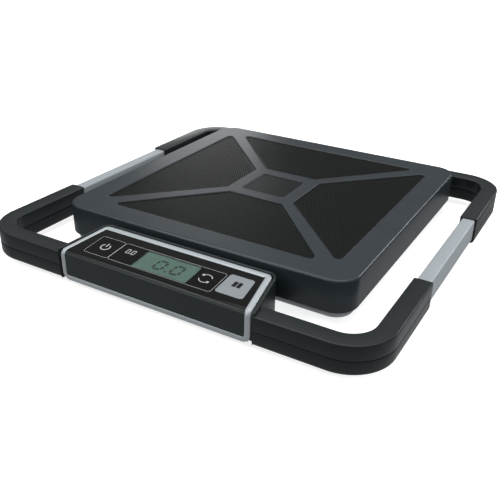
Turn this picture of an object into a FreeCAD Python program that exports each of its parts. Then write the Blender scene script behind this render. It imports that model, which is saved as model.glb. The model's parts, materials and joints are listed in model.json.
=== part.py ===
import FreeCAD, Part
import math
import os

from FreeCAD import Vector

os.makedirs("parts", exist_ok=True)

# A low platform scale: a square weighing platform on a shallow base, carried in a hoop-shaped frame with
# two aluminium handle bars, and a display module docked in a cradle at the front.
# Millimetres, +Z up, z = 0 is the floor. Shapes are drawn about the platform's centre and written about
# the middle of the whole footprint (see origin_y).

# Working allowances: how far a cutting tool runs past a face, and how far a joined piece reaches in
past = 1.0
join = 0.5
far_past = 10.0
above_all = 60.0

# Weighing platform
platform_side = 305.0
platform_corner_radius = 21.0
platform_height = 45.0
platform_edge_radius = 3.0
skirt_height = 30.5
cover_top_wall = 3.0
cover_skirt_wall = 2.2
pad_margin = 24.8
pad_inner = 38.5
front_pad_tip_inset = 15.7
side_pad_tip_inset = 6.2
pad_inner_tip = 30.0
pad_tip_radius = 4.0
pad_pocket_depth = 1.8
pad_thickness = 1.2
badge_half = 24.5
badge_radius = 4.0
insert_clearance = 0.15

# Base pan and what it stands on
pan_clearance = 1.8
pan_wall = 2.0
pan_bottom = 7.0
pan_top = 31.0
pan_edge_radius = 3.0
board_post_inset = 5.0
board_boss_radius = 3.0
foot_radius = 13.0
foot_taper = 1.5
foot_plug_radius = 4.0
foot_plug_head = 6.0
foot_plug_head_height = 2.0

# Load cells, one above each foot
cell_inset = 36.5
cell_side = 34.0
cell_corner_radius = 3.0
cell_thickness = 3.0
cell_slot_reach = 9.5
cell_screw_inset = 4.0
cell_holder_side = 42.0
cell_holder_height = 5.0
cell_holder_rim = 11.0
cell_holder_corner_radius = 3.0
cell_slot = 1.6
buffer_radius = 6.5
buffer_height = 4.0

# Platform stiffener
stiffener_margin = 14.5
stiffener_corner_radius = 13.0
stiffener_plate = 2.0
stiffener_rib = 3.0
stiffener_rib_below = 9.0
stiffener_rib_above = 4.0
post_radius = 9.0
retainer_boss_radius = 5.0
cover_screw_short = 0.5
retainer_place = 84.0
cover_screw_place = 62.0
retainer_shank_radius = 2.0
retainer_head_radius = 4.2
retainer_head_height = 2.6
retainer_ledge_lift = 4.5
retainer_play = 0.3
retainer_head_room = 1.0
retainer_shank_room = 0.6
retainer_well_wall = 3.0
retainer_boss_gap = 2.0

# Carrying frame
hoop_side_gap = 31.5
hoop_rear_gap = 10.5
hoop_setback = 0.5
hoop_band = 17.0
hoop_corner_radius = 40.0
hoop_bottom = 6.0
hoop_top = 33.0
parting_height = 19.0
parting_groove = 0.7
hoop_top_radius = 1.8
hoop_bottom_radius = 3.0
front_arm_length = 124.0
rear_arm_length = 124.0
bar_lift = 0.4
bar_width = 13.0
bar_height = 22.5
bar_wall = 1.6
bar_corner_radius = 2.0
bar_engagement = 55.0
bar_clearance = 0.12
bar_inner_radius = 0.5
frame_screw_from_bar = 12.0
frame_screw_across = 130.0
frame_screw_seat_lift = 2.4
frame_screw_short = 5.0
bar_screw_seat_lift = 1.6
screw_well_room = 0.4

# Display module and its cradle
display_gap = 8.5
display_depth = 53.5
display_back_half = 88.0
display_front_half = 97.3
panel_back_height = 40.4
panel_tilt = 5.0
bend_radius = 6.0
display_bottom = 6.0
back_corner_radius = 6.0
bezel_side = 5.0
bezel_back = 6.6
bezel_bottom = 5.2
bezel_thickness = 2.2
bezel_skirt = 6.0
panel_sink = 0.4
panel_thickness = 2.0
step_wall = 1.6
case_wall = 2.0
case_gap = 0.2
case_front_gap = 0.3
lip_depth = 4.4
tray_gap = 0.2
frame_gap = 0.1
dock_gap = 1.4
cheek_wall = 2.2
cheek_drop = 0.5
tray_thickness = 3.0
tongue_half = 70.0
tongue_depth = 32.0
tongue_thickness = 3.0
tongue_step_gap = 1.5
tongue_slot_gap = 0.3
tongue_screw_across = (-50.0, 50.0)
tongue_screw_inset = 13.0
dock_from_back = 24.0
dock_half = 12.0
dock_half_depth = 4.0
display_post_inset = 8.0
display_post_radius = 3.2
display_post_from_front = 5.5
display_post_from_back = 4.4
display_screw_length = 10.0
display_screw_head_height = 0.8

# Keys and display glass, in the sloping panel's own plane: across, and forward from its back edge
key_back = 18.1
key_front = 44.2
power_key_across = (-76.5, -51.8)
tare_key_across = (-49.5, -26.2)
lcd_across = (-25.4, 30.8)
units_key_across = (31.6, 54.2)
hold_key_across = (57.0, 80.0)
hold_key_spread = 3.3
hold_key_back = 14.7
hold_key_front = 41.7
key_radius = 1.6
hold_key_radius = 2.8
key_clearance = 0.25
key_travel = 0.4
key_flange = 1.2
key_flange_thickness = 0.8
key_stem_radius = 2.0
key_stem_bottom = 6.0
window_radius = 1.0
window_sink = 0.05
window_thickness = 1.2
glass_gap = 0.3
glass_thickness = 2.2
glass_inset = 0.6
glass_radius = 0.5
holder_inset = 1.0
holder_rim = 3.0
board_depth = 8.4
board_thickness = 1.6
board_side_inset = 5.0
board_back_reach = 6.0
board_front_reach = 1.8
board_radius = 2.0
board_post_radius = 1.8
board_post_across = (-68.0, 0.0, 46.0)
board_post_from_back = 14.5
board_corner_post = (4.5, 38.0)
switch_side = 6.0
switch_height = 1.2
switch_button_radius = 1.7
switch_gap = 0.1

# Fasteners
screw_radius = 1.5
screw_head_radius = 2.8
screw_head_height = 1.5
screw_clearance = 0.1
boss_radius = 4.0
screw_tip_gap = 0.2
floor_screw_skin = 0.8

# Battery bay, ports and electronics in the base
battery_radius = 5.25
battery_length = 44.5
battery_gap = 0.7
battery_play = 0.1
battery_end_play = 0.6
battery_pole_radius = 1.9
battery_pole_height = 1.0
battery_count = 3
bay_center = (48.0, -40.0)
bay_end_room = 4.0
bay_wall = 1.6
bay_headroom = 0.6
contact_half = 4.0
contact_thickness = 0.8
door_thickness = 1.7
door_clearance = 0.3
door_tab_width = 2.4
door_tab_thickness = 1.4
door_tab_height = 5.0
port_y = 38.0
port_pitch = 20.0
port_notch_half = 22.0
port_notch_height = 14.0
usb_size = (16.0, 12.0, 11.0)
power_jack_size = (14.0, 9.0, 11.0)
port_clearance = 0.2
port_sink = 0.4
port_depth = 10.0
usb_wall = 1.4
usb_tongue_gap = 2.0
usb_tongue_heights = (4.0, 7.0)
jack_bore_radius = 3.1
jack_pin_radius = 1.0
jack_pin_gap = 1.5
main_board_size = (48.0, 62.0, 1.6)
main_board_lift = 4.0
main_board_gap = 1.0
main_board_radius = 2.0
chip_side = 10.0
chip_height = 1.6
chip_offset = 3.0
connector_size = (6.0, 8.0, 6.0)
connector_pitch = 12.0
connector_inset = 4.0
lead_radius = 1.2
lead_pitch = 6.0
lead_lift = 0.2
lead_end_gap = 0.5

# Worked-out places
platform_half = platform_side / 2
pad_outer = platform_half - pad_margin
front_pad_tip = pad_outer - front_pad_tip_inset
side_pad_tip = pad_outer - side_pad_tip_inset
stiffener_half = platform_half - stiffener_margin
display_back = -platform_half - display_gap
display_front = display_back - display_depth
hoop_half_width = platform_half + hoop_side_gap + hoop_band
hoop_front = display_front + hoop_setback
hoop_rear = platform_half + hoop_rear_gap + hoop_band
front_arm_end = hoop_front + front_arm_length
rear_arm_end = hoop_rear - rear_arm_length
origin_y = (display_front + hoop_rear) / 2
cover_inside = platform_height - cover_top_wall
skirt_bottom = platform_height - skirt_height
pan_half = platform_half - cover_skirt_wall - pan_clearance
pan_radius = platform_corner_radius - cover_skirt_wall - pan_clearance
pan_floor = pan_bottom + pan_wall
floor_screw_tip = pan_bottom + floor_screw_skin
cell_place = pan_half - cell_inset
cell_bottom = pan_floor + cell_holder_height
cell_top = cell_bottom + cell_thickness
buffer_top = cell_top + buffer_height
plate_bottom = cover_inside - stiffener_rib_above - stiffener_plate
plate_top = plate_bottom + stiffener_plate
retainer_ledge = pan_bottom + retainer_ledge_lift
retainer_boss_bottom = retainer_ledge + pan_wall + retainer_boss_gap
arm_center_x = hoop_half_width - hoop_band / 2
bar_center_z = (hoop_bottom + hoop_top) / 2 + bar_lift
hoop_middle_front = hoop_front + hoop_band / 2
hoop_middle_rear = hoop_rear - hoop_band / 2
tray_top = hoop_bottom + tray_thickness
battery_pitch = 2 * battery_radius + battery_gap
battery_middle_z = pan_floor + battery_radius + bay_headroom / 3
bay_ceiling = pan_floor + 2 * battery_radius + bay_headroom
board_bottom = pan_floor + main_board_lift
board_top = board_bottom + main_board_size[2]
main_board_center = (-pan_half + pan_wall + main_board_gap + main_board_size[0] / 2, port_y)
connector_face_x = main_board_center[0] + main_board_size[0] / 2 - connector_inset
usb_y = port_y - port_pitch / 2
power_jack_y = port_y + port_pitch / 2
tongue_screw_y = pan_half - tongue_screw_inset
frame_screw_seat = hoop_bottom + frame_screw_seat_lift
bar_screw_seat = hoop_bottom + bar_screw_seat_lift
dock_place = (0.0, display_back - dock_from_back)
cheek_outset = dock_gap + cheek_wall
case_floor_top = tray_top + case_wall
display_screw_seat = tray_top + frame_gap + display_screw_head_height
panel_surface = -panel_sink
panel_underside = panel_surface - panel_thickness
board_post_places = [(x, -board_post_from_back) for x in board_post_across]
board_post_places.append((power_key_across[0] - board_corner_post[0], -board_corner_post[1]))
side_slope = (display_front_half - display_back_half) / (display_back - display_front)
tilt_rise = math.tan(math.radians(panel_tilt))


def rounded_face(points, radii):
    """A flat face at z = 0 whose straight sides meet in arcs of the given radii."""
    count = len(points)
    if not isinstance(radii, (list, tuple)):
        radii = [radii] * count
    edges = []
    starts = []
    ends = []
    middles = []
    for index in range(count):
        before = Vector(*points[index - 1], 0)
        corner = Vector(*points[index], 0)
        after = Vector(*points[(index + 1) % count], 0)
        back = (before - corner).normalize()
        forward = (after - corner).normalize()
        half_angle = back.getAngle(forward) / 2
        reach = radii[index] / math.tan(half_angle)
        bisector = (back + forward).normalize()
        center = corner + bisector * (radii[index] / math.sin(half_angle))
        starts.append(corner + back * reach)
        ends.append(corner + forward * reach)
        middles.append(center - bisector * radii[index])
    for index in range(count):
        if radii[index] > 0:
            edges.append(Part.Arc(starts[index], middles[index], ends[index]).toShape())
        following = (index + 1) % count
        if (starts[following] - ends[index]).Length > 1e-6:
            edges.append(Part.LineSegment(ends[index], starts[following]).toShape())
    return Part.Face(Part.Wire(edges))


def slab(points, radii, bottom, top):
    """The rounded outline carried straight up from bottom to top."""
    face = rounded_face(points, radii)
    face.translate(Vector(0, 0, bottom))
    return face.extrude(Vector(0, 0, top - bottom))


def rectangle(x_low, x_high, y_low, y_high):
    return [(x_low, y_low), (x_high, y_low), (x_high, y_high), (x_low, y_high)]


def square_slab(half, radius, bottom, top):
    return slab(rectangle(-half, half, -half, half), radius, bottom, top)


def block(x_low, x_high, y_low, y_high, bottom, top):
    size = (x_high - x_low, y_high - y_low, top - bottom)
    return Part.makeBox(*size, Vector(x_low, y_low, bottom))


def rod(x, y, bottom, top, radius):
    return Part.makeCylinder(radius, top - bottom, Vector(x, y, bottom))


def corners(distance):
    return [(sx * distance, sy * distance) for sx in (-1, 1) for sy in (-1, 1)]


def edges_at_height(shape, height, skip_y=None):
    """Edges lying flat at one height, leaving out those along the line y = skip_y."""
    picked = []
    for edge in shape.Edges:
        level = all(abs(vertex.Z - height) < 1e-4 for vertex in edge.Vertexes)
        skipped = skip_y is not None and all(abs(vertex.Y - skip_y) < 1e-4 for vertex in edge.Vertexes)
        if level and not skipped:
            picked.append(edge)
    return picked


def cut_all(shape, tools):
    return shape.cut(tools) if tools else shape


def joined(shapes):
    first, rest = shapes[0], shapes[1:]
    return first.fuse(rest).removeSplitter() if rest else first


def write(name, shape):
    """Moves a piece to the row's frame, keeps its solids only and writes it to its own file."""
    moved = shape.copy()
    moved.translate(Vector(0, -origin_y, 0))
    solids = moved.Solids
    result = solids[0] if len(solids) == 1 else Part.makeCompound(solids)
    if not result.isValid():
        print("invalid shape:", name)
    result.exportStep("parts/" + name + ".step")


def screw_down(x, y, head_bottom, tip):
    """A screw with its head on top: the shank runs down from the head to the tip."""
    head = rod(x, y, head_bottom, head_bottom + screw_head_height, screw_head_radius)
    return head.fuse(rod(x, y, tip, head_bottom, screw_radius)).removeSplitter()


def screw_up(x, y, head_top, tip):
    """A screw driven from below: the shank runs up from the head to the tip."""
    head = rod(x, y, head_top - screw_head_height, head_top, screw_head_radius)
    return head.fuse(rod(x, y, head_top, tip, screw_radius)).removeSplitter()


def screw_hole(x, y, bottom, top):
    return rod(x, y, bottom, top, screw_radius + screw_clearance)


# ---- Weighing platform ----

def pad_outline(tip, inner_tip, grow=0.0):
    """The front pad's four corners, grown outwards by the given amount."""
    slope = math.hypot(pad_outer - pad_inner, tip - inner_tip) / (pad_outer - pad_inner)
    wide = tip + grow * slope
    narrow = inner_tip + grow * slope
    return [
        (-wide, -pad_outer - grow),
        (wide, -pad_outer - grow),
        (narrow, -pad_inner + grow),
        (-narrow, -pad_inner + grow),
    ]


def pad_solid(turn, tip, grow, bottom, top):
    radii = [pad_tip_radius + grow] * 4
    solid = slab(pad_outline(tip, pad_inner_tip, grow), radii, bottom, top)
    solid.rotate(Vector(0, 0, 0), Vector(0, 0, 1), turn)
    return solid


pads = {
    "tread_pad_front": (0, front_pad_tip),
    "tread_pad_right": (90, side_pad_tip),
    "tread_pad_back": (180, front_pad_tip),
    "tread_pad_left": (270, side_pad_tip),
}


def platform_cover():
    """A thin-walled cap with a ribbed X on top: four pad pockets, a badge pocket and a port notch."""
    cap = square_slab(platform_half, platform_corner_radius, skirt_bottom, platform_height)
    cap = cap.makeFillet(platform_edge_radius, edges_at_height(cap, platform_height))
    inner_radius = platform_corner_radius - cover_skirt_wall
    hollow = square_slab(platform_half - cover_skirt_wall, inner_radius, skirt_bottom - past, cover_inside)
    pocket_floor = platform_height - pad_pocket_depth
    above = platform_height + past
    tools = [hollow]
    for turn, tip in pads.values():
        tools.append(pad_solid(turn, tip, 0.0, pocket_floor, above))
    tools.append(square_slab(badge_half, badge_radius, pocket_floor, above))
    tools.append(block(
        -platform_half - past, -platform_half + cover_skirt_wall + past,
        port_y - port_notch_half, port_y + port_notch_half,
        skirt_bottom - past, skirt_bottom + port_notch_height,
    ))
    cover = cap.cut(tools)
    for x, y in corners(cover_screw_place):
        boss = rod(x, y, plate_top, cover_inside, boss_radius)
        cover = cover.fuse(boss)
    cover = cover.removeSplitter()
    holes = []
    for x, y in corners(cover_screw_place):
        holes.append(rod(x, y, plate_top - past, cover_inside - cover_screw_short, screw_radius))
    return cut_all(cover, holes)


def tread_pad(turn, tip):
    bottom = platform_height - pad_pocket_depth
    return pad_solid(turn, tip, -insert_clearance, bottom, bottom + pad_thickness)


def centre_badge():
    bottom = platform_height - pad_pocket_depth
    half = badge_half - insert_clearance
    return square_slab(half, badge_radius - insert_clearance, bottom, bottom + pad_thickness)


def platform_stiffener():
    """A ribbed plate under the cover, with a post over each load cell and a boss for each retaining screw."""
    radius = stiffener_corner_radius
    plate = square_slab(stiffener_half, radius, plate_bottom, plate_top)
    rib_bottom = plate_bottom - stiffener_rib_below
    rib_top = cover_inside
    inner = stiffener_half - stiffener_rib
    ring = square_slab(stiffener_half, radius, rib_bottom, rib_top)
    ring = ring.cut(square_slab(inner, radius - stiffener_rib, rib_bottom - past, rib_top + past))
    shapes = [plate, ring]
    reach = inner + stiffener_rib / 2
    for turn in (0, 90):
        rib = block(-reach, reach, -stiffener_rib / 2, stiffener_rib / 2, rib_bottom, rib_top)
        rib.rotate(Vector(0, 0, 0), Vector(0, 0, 1), turn)
        shapes.append(rib)
    for x, y in corners(cell_place):
        shapes.append(rod(x, y, buffer_top, plate_bottom + join, post_radius))
    for x, y in corners(retainer_place):
        shapes.append(rod(x, y, retainer_boss_bottom, plate_bottom + join, retainer_boss_radius))
    solid = joined(shapes)
    holes = []
    for x, y in corners(cover_screw_place):
        holes.append(screw_hole(x, y, plate_bottom - past, plate_top + past))
    for x, y in corners(retainer_place):
        holes.append(rod(x, y, retainer_boss_bottom - past, plate_bottom, retainer_shank_radius))
    return cut_all(solid, holes)


def retaining_screws():
    """Shoulder screws from below: their heads sit just under ledges in the pan and hold the platform down."""
    head_top = retainer_ledge - retainer_play
    shapes = []
    for x, y in corners(retainer_place):
        head = rod(x, y, head_top - retainer_head_height, head_top, retainer_head_radius)
        shank = rod(x, y, head_top, plate_bottom - past, retainer_shank_radius)
        shapes.append(head.fuse(shank).removeSplitter())
    return Part.makeCompound(shapes)


def cover_screws():
    tip = cover_inside - cover_screw_short
    return Part.makeCompound([screw_up(x, y, plate_bottom, tip) for x, y in corners(cover_screw_place)])


def load_buffers():
    places = corners(cell_place)
    return Part.makeCompound([rod(x, y, cell_top, buffer_top, buffer_radius) for x, y in places])


# ---- Base ----

def battery_bay_box(grow, bottom, top):
    half_length = battery_length / 2 + bay_end_room + grow
    half_width = battery_count * battery_pitch / 2 + grow
    x, y = bay_center
    return block(x - half_width, x + half_width, y - half_length, y + half_length, bottom, top)


def base_pan():
    """A shallow tray with rounded lower edges, bosses, a battery bay, port openings and tongue slots."""
    pan = square_slab(pan_half, pan_radius, pan_bottom, pan_top)
    pan = pan.makeFillet(pan_edge_radius, edges_at_height(pan, pan_bottom))
    pan = pan.cut(square_slab(pan_half - pan_wall, pan_radius - pan_wall, pan_floor, pan_top + past))
    shapes = [pan, battery_bay_box(bay_wall, pan_bottom + join, bay_ceiling + bay_wall)]
    well_radius = retainer_head_radius + retainer_well_wall
    for x, y in corners(retainer_place):
        shapes.append(rod(x, y, pan_bottom + join, retainer_ledge + pan_wall, well_radius))
    board_x, board_y = main_board_center
    for sx in (-1, 1):
        for sy in (-1, 1):
            x = board_x + sx * (main_board_size[0] / 2 - board_post_inset)
            y = board_y + sy * (main_board_size[1] / 2 - board_post_inset)
            shapes.append(rod(x, y, pan_bottom + join, board_bottom, board_boss_radius))
    solid = joined(shapes)
    tools = [battery_bay_box(0, pan_bottom - past, bay_ceiling)]
    head_hole = retainer_head_radius + retainer_head_room
    shank_hole = retainer_shank_radius + retainer_shank_room
    for x, y in corners(retainer_place):
        tools.append(rod(x, y, pan_bottom - past, retainer_ledge, head_hole))
        tools.append(rod(x, y, retainer_ledge - past, retainer_ledge + pan_wall + past, shank_hole))
    for x, y in corners(cell_place):
        tools.append(rod(x, y, pan_bottom - past, pan_floor + past, foot_plug_radius))
    for x, y in cell_screw_places():
        tools.append(rod(x, y, floor_screw_tip - screw_tip_gap, pan_floor + past, screw_radius))
    for side in (-1, 1):
        slot_low, slot_high = sorted((side * (pan_half + past), side * (pan_half - pan_wall - join)))
        tools.append(block(
            -tongue_half - tongue_slot_gap, tongue_half + tongue_slot_gap, slot_low, slot_high,
            pan_floor, pan_floor + tongue_thickness + tongue_slot_gap,
        ))
        for x in tongue_screw_across:
            low = floor_screw_tip - screw_tip_gap
            tools.append(rod(x, side * tongue_screw_y, low, pan_floor + past, screw_radius))
    for center_y, size in ((usb_y, usb_size), (power_jack_y, power_jack_size)):
        half = size[1] / 2 + port_clearance
        low = board_top - port_clearance
        high = board_top + size[2] + port_clearance
        outside, inside = -pan_half - past, -pan_half + pan_wall + join
        tools.append(block(outside, inside, center_y - half, center_y + half, low, high))
    return solid.cut(tools)


def foot(x, y):
    """A rubber foot, slightly tapered, with a plug pushed through the pan and a head that holds it."""
    cone = Part.makeCone(foot_radius - foot_taper, foot_radius, pan_bottom, Vector(x, y, 0))
    plug = rod(x, y, pan_bottom, pan_floor, foot_plug_radius)
    head = rod(x, y, pan_floor, pan_floor + foot_plug_head_height, foot_plug_head)
    return cone.fuse([plug, head]).removeSplitter()


def cell_screw_places():
    """Two screws per load cell, on the diagonal that points at the platform's centre."""
    places = []
    offset = cell_side / 2 - cell_screw_inset
    for x, y in corners(cell_place):
        toward = -math.copysign(1, x), -math.copysign(1, y)
        for sign in (-1, 1):
            places.append((x + sign * toward[0] * offset, y + sign * toward[1] * offset))
    return places


def cell_holder(x, y):
    """A square plastic frame that carries one load cell by its rim."""
    radius = cell_holder_corner_radius
    half = cell_holder_side / 2
    opening = half - cell_holder_rim
    low, high = pan_floor - past, cell_bottom + past
    frame = slab(rectangle(x - half, x + half, y - half, y + half), radius, pan_floor, cell_bottom)
    window = slab(rectangle(x - opening, x + opening, y - opening, y + opening), radius - 1, low, high)
    return frame.cut([window] + [screw_hole(a, b, low, high) for a, b in nearest_screws(x, y)])


def nearest_screws(x, y):
    places = cell_screw_places()
    return [place for place in places if math.hypot(place[0] - x, place[1] - y) < cell_side]


def load_cell(x, y):
    """A sprung steel plate: a U-shaped slot frees the middle tongue that the buffer presses on."""
    half = cell_side / 2
    outline = rectangle(x - half, x + half, y - half, y + half)
    plate = slab(outline, cell_corner_radius, cell_bottom, cell_top)
    inward = -math.copysign(1, y)
    reach = cell_slot_reach
    low, high = cell_bottom - past, cell_top + past
    tools = []
    for side in (-1, 1):
        edge = x + side * reach - cell_slot / 2
        tools.append(block(edge, edge + cell_slot, y - reach, y + reach, low, high))
    end = y + inward * reach
    span = reach + cell_slot / 2
    tools.append(block(x - span, x + span, end - cell_slot / 2, end + cell_slot / 2, low, high))
    tools += [screw_hole(a, b, low, high) for a, b in nearest_screws(x, y)]
    return plate.cut(tools)


def cell_screws():
    places = cell_screw_places()
    return Part.makeCompound([screw_down(x, y, cell_top, floor_screw_tip) for x, y in places])


def tongue_screws(side):
    top = pan_floor + tongue_thickness
    y = side * tongue_screw_y
    return Part.makeCompound([screw_down(x, y, top, floor_screw_tip) for x in tongue_screw_across])


# ---- Battery bay ----

def battery_door():
    """A flush lid with spring tabs that click against the bay's walls."""
    top = pan_bottom + door_thickness
    x, y = bay_center
    reach = battery_length / 2 + bay_end_room - door_clearance
    shapes = [battery_bay_box(-door_clearance, pan_bottom, top)]
    half = door_tab_width / 2
    for side in (-1, 1):
        low, high = sorted((y + side * (reach - door_tab_thickness), y + side * reach))
        for middle in (x - battery_pitch / 2, x + battery_pitch / 2):
            shapes.append(block(middle - half, middle + half, low, high, top - join, top + door_tab_height))
    return joined(shapes)


def battery(index):
    """A cylinder with a small raised pole at one end; neighbours face opposite ways."""
    x = bay_center[0] + (index - (battery_count - 1) / 2) * battery_pitch
    z = battery_middle_z
    facing = 1 if index % 2 else -1
    along = Vector(0, facing, 0)
    can_length = battery_length - battery_pole_height - battery_end_play
    start = bay_center[1] - facing * (battery_length / 2 - battery_end_play)
    can = Part.makeCylinder(battery_radius - battery_play, can_length, Vector(x, start, z), along)
    pole_start = Vector(x, start + facing * can_length, z)
    pole = Part.makeCylinder(battery_pole_radius, battery_pole_height, pole_start, along)
    return can.fuse(pole).removeSplitter()


def battery_contacts():
    """Metal tabs at both ends of the bay, one pair per battery."""
    shapes = []
    z, half = battery_middle_z, contact_half
    reach = battery_length / 2 + bay_end_room
    for index in range(battery_count):
        x = bay_center[0] + (index - (battery_count - 1) / 2) * battery_pitch
        for side in (-1, 1):
            edge = bay_center[1] + side * reach
            low, high = sorted((edge, edge - side * contact_thickness))
            shapes.append(block(x - half, x + half, low, high, z - half, z + half))
    return Part.makeCompound(shapes)


# ---- Electronics in the base ----

def main_board():
    x, y = main_board_center
    half_x, half_y = main_board_size[0] / 2, main_board_size[1] / 2
    outline = rectangle(x - half_x, x + half_x, y - half_y, y + half_y)
    return slab(outline, main_board_radius, board_bottom, board_top)


def board_chips():
    """The measuring chip and the lead connectors on the board's inner half."""
    x, y = main_board_center[0] + chip_offset, main_board_center[1]
    half = chip_side / 2
    shapes = [block(x - half, x + half, y - half, y + half, board_top, board_top + chip_height)]
    low_x = connector_face_x - connector_size[0]
    top = board_top + connector_size[2]
    half = connector_size[1] / 2
    for index in range(len(corners(cell_place))):
        middle = connector_y(index)
        shapes.append(block(low_x, connector_face_x, middle - half, middle + half, board_top, top))
    return Part.makeCompound(shapes)


def connector_y(index):
    return port_y + (index - 1.5) * connector_pitch


def port_body(center_y, size, hole):
    """A socket's shell, open to the left, flush with the outside of the pan."""
    left = -pan_half + port_sink
    half = size[1] / 2
    shell = block(left, left + size[0], center_y - half, center_y + half, board_top, board_top + size[2])
    return shell.cut(hole(left, center_y, size))


def usb_hole(left, center_y, size):
    half = size[1] / 2 - usb_wall
    end = left + port_depth
    low, high = board_top + usb_wall, board_top + size[2] - usb_wall
    cavity = block(left - past, end, center_y - half, center_y + half, low, high)
    start = left + usb_tongue_gap
    inner = half - usb_tongue_gap
    low, high = board_top + usb_tongue_heights[0], board_top + usb_tongue_heights[1]
    return cavity.cut(block(start, end, center_y - inner, center_y + inner, low, high))


def power_jack_hole(left, center_y, size):
    z = board_top + size[2] / 2
    inward = Vector(1, 0, 0)
    start = Vector(left - past, center_y, z)
    bore = Part.makeCylinder(jack_bore_radius, port_depth + past, start, inward)
    pin_start = Vector(left + jack_pin_gap, center_y, z)
    pin = Part.makeCylinder(jack_pin_radius, port_depth, pin_start, inward)
    return bore.cut(pin)


def lead(points):
    """A round lead along straight runs joined by arcs as large as the runs allow."""
    places = [Vector(*point) for point in points]
    edges = []
    start = places[0]
    for index in range(1, len(places) - 1):
        corner = places[index]
        back = (places[index - 1] - corner)
        forward = (places[index + 1] - corner)
        reach = 0.45 * min(back.Length, forward.Length)
        back.normalize()
        forward.normalize()
        half_angle = back.getAngle(forward) / 2
        radius = reach * math.tan(half_angle)
        bisector = (back + forward).normalize()
        center = corner + bisector * (radius / math.sin(half_angle))
        arc_start = corner + back * reach
        arc_end = corner + forward * reach
        edges.append(Part.LineSegment(start, arc_start).toShape())
        edges.append(Part.Arc(arc_start, center - bisector * radius, arc_end).toShape())
        start = arc_end
    edges.append(Part.LineSegment(start, places[-1]).toShape())
    path = Part.Wire(edges)
    direction = (places[1] - places[0]).normalize()
    section = Part.Wire([Part.Circle(places[0], direction, lead_radius).toShape()])
    return path.makePipeShell([section], True, False)


def cell_leads():
    """One lead from each load cell along the pan's floor to the board's connectors."""
    z = pan_floor + lead_radius + lead_lift
    connector_z = board_top + connector_size[2] / 2
    nearest_x = -retainer_place + retainer_head_radius + retainer_well_wall + 2 * lead_pitch
    routes = []
    for index, (x, y) in enumerate(corners(cell_place)):
        start = (x - math.copysign(cell_holder_side / 2, x), y, z)
        bend_x = nearest_x + index * lead_pitch
        end_y = connector_y(index)
        end = (connector_face_x + lead_end_gap, end_y, connector_z)
        routes.append([start, (bend_x, y, z), (bend_x, end_y, z), end])
    return Part.makeCompound([lead(route) for route in routes])


# ---- Carrying frame ----

def hoop_face_slab(inset, bottom, top):
    """The frame's band in plan, thinned by the inset on both edges, between two heights."""
    x = hoop_half_width - inset
    outline = rectangle(-x, x, hoop_front + inset, hoop_rear - inset)
    outer = slab(outline, hoop_corner_radius - inset, bottom, top)
    inner_x = hoop_half_width - hoop_band + inset
    inner_radius = hoop_corner_radius - hoop_band + inset
    inner_low = hoop_front + hoop_band - inset
    inner_high = hoop_rear - hoop_band + inset
    outline = rectangle(-inner_x, inner_x, inner_low, inner_high)
    return outer.cut(slab(outline, inner_radius, bottom - past, top + past))


def half_plane(front, bottom, top):
    """Everything in front of the front arms' ends, or behind the rear arms' ends."""
    reach = hoop_half_width + far_past
    if front:
        return block(-reach, reach, hoop_front - far_past, front_arm_end, bottom, top)
    return block(-reach, reach, rear_arm_end, hoop_rear + far_past, bottom, top)


def u_moulding(front, upper):
    """One half of a U-shaped moulding: a channel whose hollow takes the handle bars' ends."""
    bottom, top = (parting_height, hoop_top) if upper else (hoop_bottom, parting_height)
    arm_end = front_arm_end if front else rear_arm_end
    solid = hoop_face_slab(0, bottom, top).common(half_plane(front, bottom - past, top + past))
    if upper:
        solid = solid.makeFillet(hoop_top_radius, edges_at_height(solid, hoop_top, arm_end))
    else:
        solid = solid.makeFillet(hoop_bottom_radius, edges_at_height(solid, hoop_bottom, arm_end))
    groove_low = parting_height - parting_groove / 2
    groove_high = parting_height + parting_groove / 2
    groove = hoop_face_slab(-past, groove_low, groove_high)
    groove = groove.cut(hoop_face_slab(parting_groove, groove_low - past, groove_high + past))
    wall = (hoop_band - bar_width) / 2 - bar_clearance
    hollow_low = bar_center_z - bar_height / 2 - bar_clearance
    hollow_high = bar_center_z + bar_height / 2 + bar_clearance
    hollow = hoop_face_slab(wall, hollow_low, hollow_high)
    if front:
        half = cradle_half(display_front, cheek_outset) + cheek_wall
        back = hoop_front + hoop_band
        low, high = hollow_low - past, hollow_high + past
        hollow = hollow.cut(block(-half, half, hoop_front - far_past, back, low, high))
    solid = solid.cut([groove, hollow])
    boss_bottom = max(bottom, hollow_low - join)
    boss_top = min(top, hollow_high + join)
    places = frame_screw_places(front)
    solid = solid.fuse([rod(x, y, boss_bottom, boss_top, boss_radius) for x, y in places])
    solid = solid.removeSplitter()
    well_radius = screw_head_radius + screw_well_room
    tools = []
    for x, y in places:
        tools.append(screw_hole(x, y, hoop_bottom - past, hoop_top - frame_screw_short + past))
        tools.append(rod(x, y, hoop_bottom - past, frame_screw_seat, well_radius))
    for x, y in bar_screw_places(front):
        tools.append(screw_hole(x, y, hoop_bottom - past, hollow_low + past))
        tools.append(rod(x, y, hoop_bottom - past, bar_screw_seat, well_radius))
    return cut_all(solid, tools)


def frame_screw_places(front):
    """Two screws in each arm's corner stretch and two in the straight run, clear of the handle bars."""
    end = front_arm_end - bar_engagement if front else rear_arm_end + bar_engagement
    along = hoop_middle_front if front else hoop_middle_rear
    step = -frame_screw_from_bar if front else frame_screw_from_bar
    return [
        (-arm_center_x, end + step),
        (arm_center_x, end + step),
        (-frame_screw_across, along),
        (frame_screw_across, along),
    ]


def bar_screw_places(front):
    half = bar_engagement / 2
    y = front_arm_end - half if front else rear_arm_end + half
    return [(-arm_center_x, y), (arm_center_x, y)]


def frame_screws(front):
    tip = hoop_top - frame_screw_short
    places = frame_screw_places(front)
    return Part.makeCompound([screw_up(x, y, frame_screw_seat, tip) for x, y in places])


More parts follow.
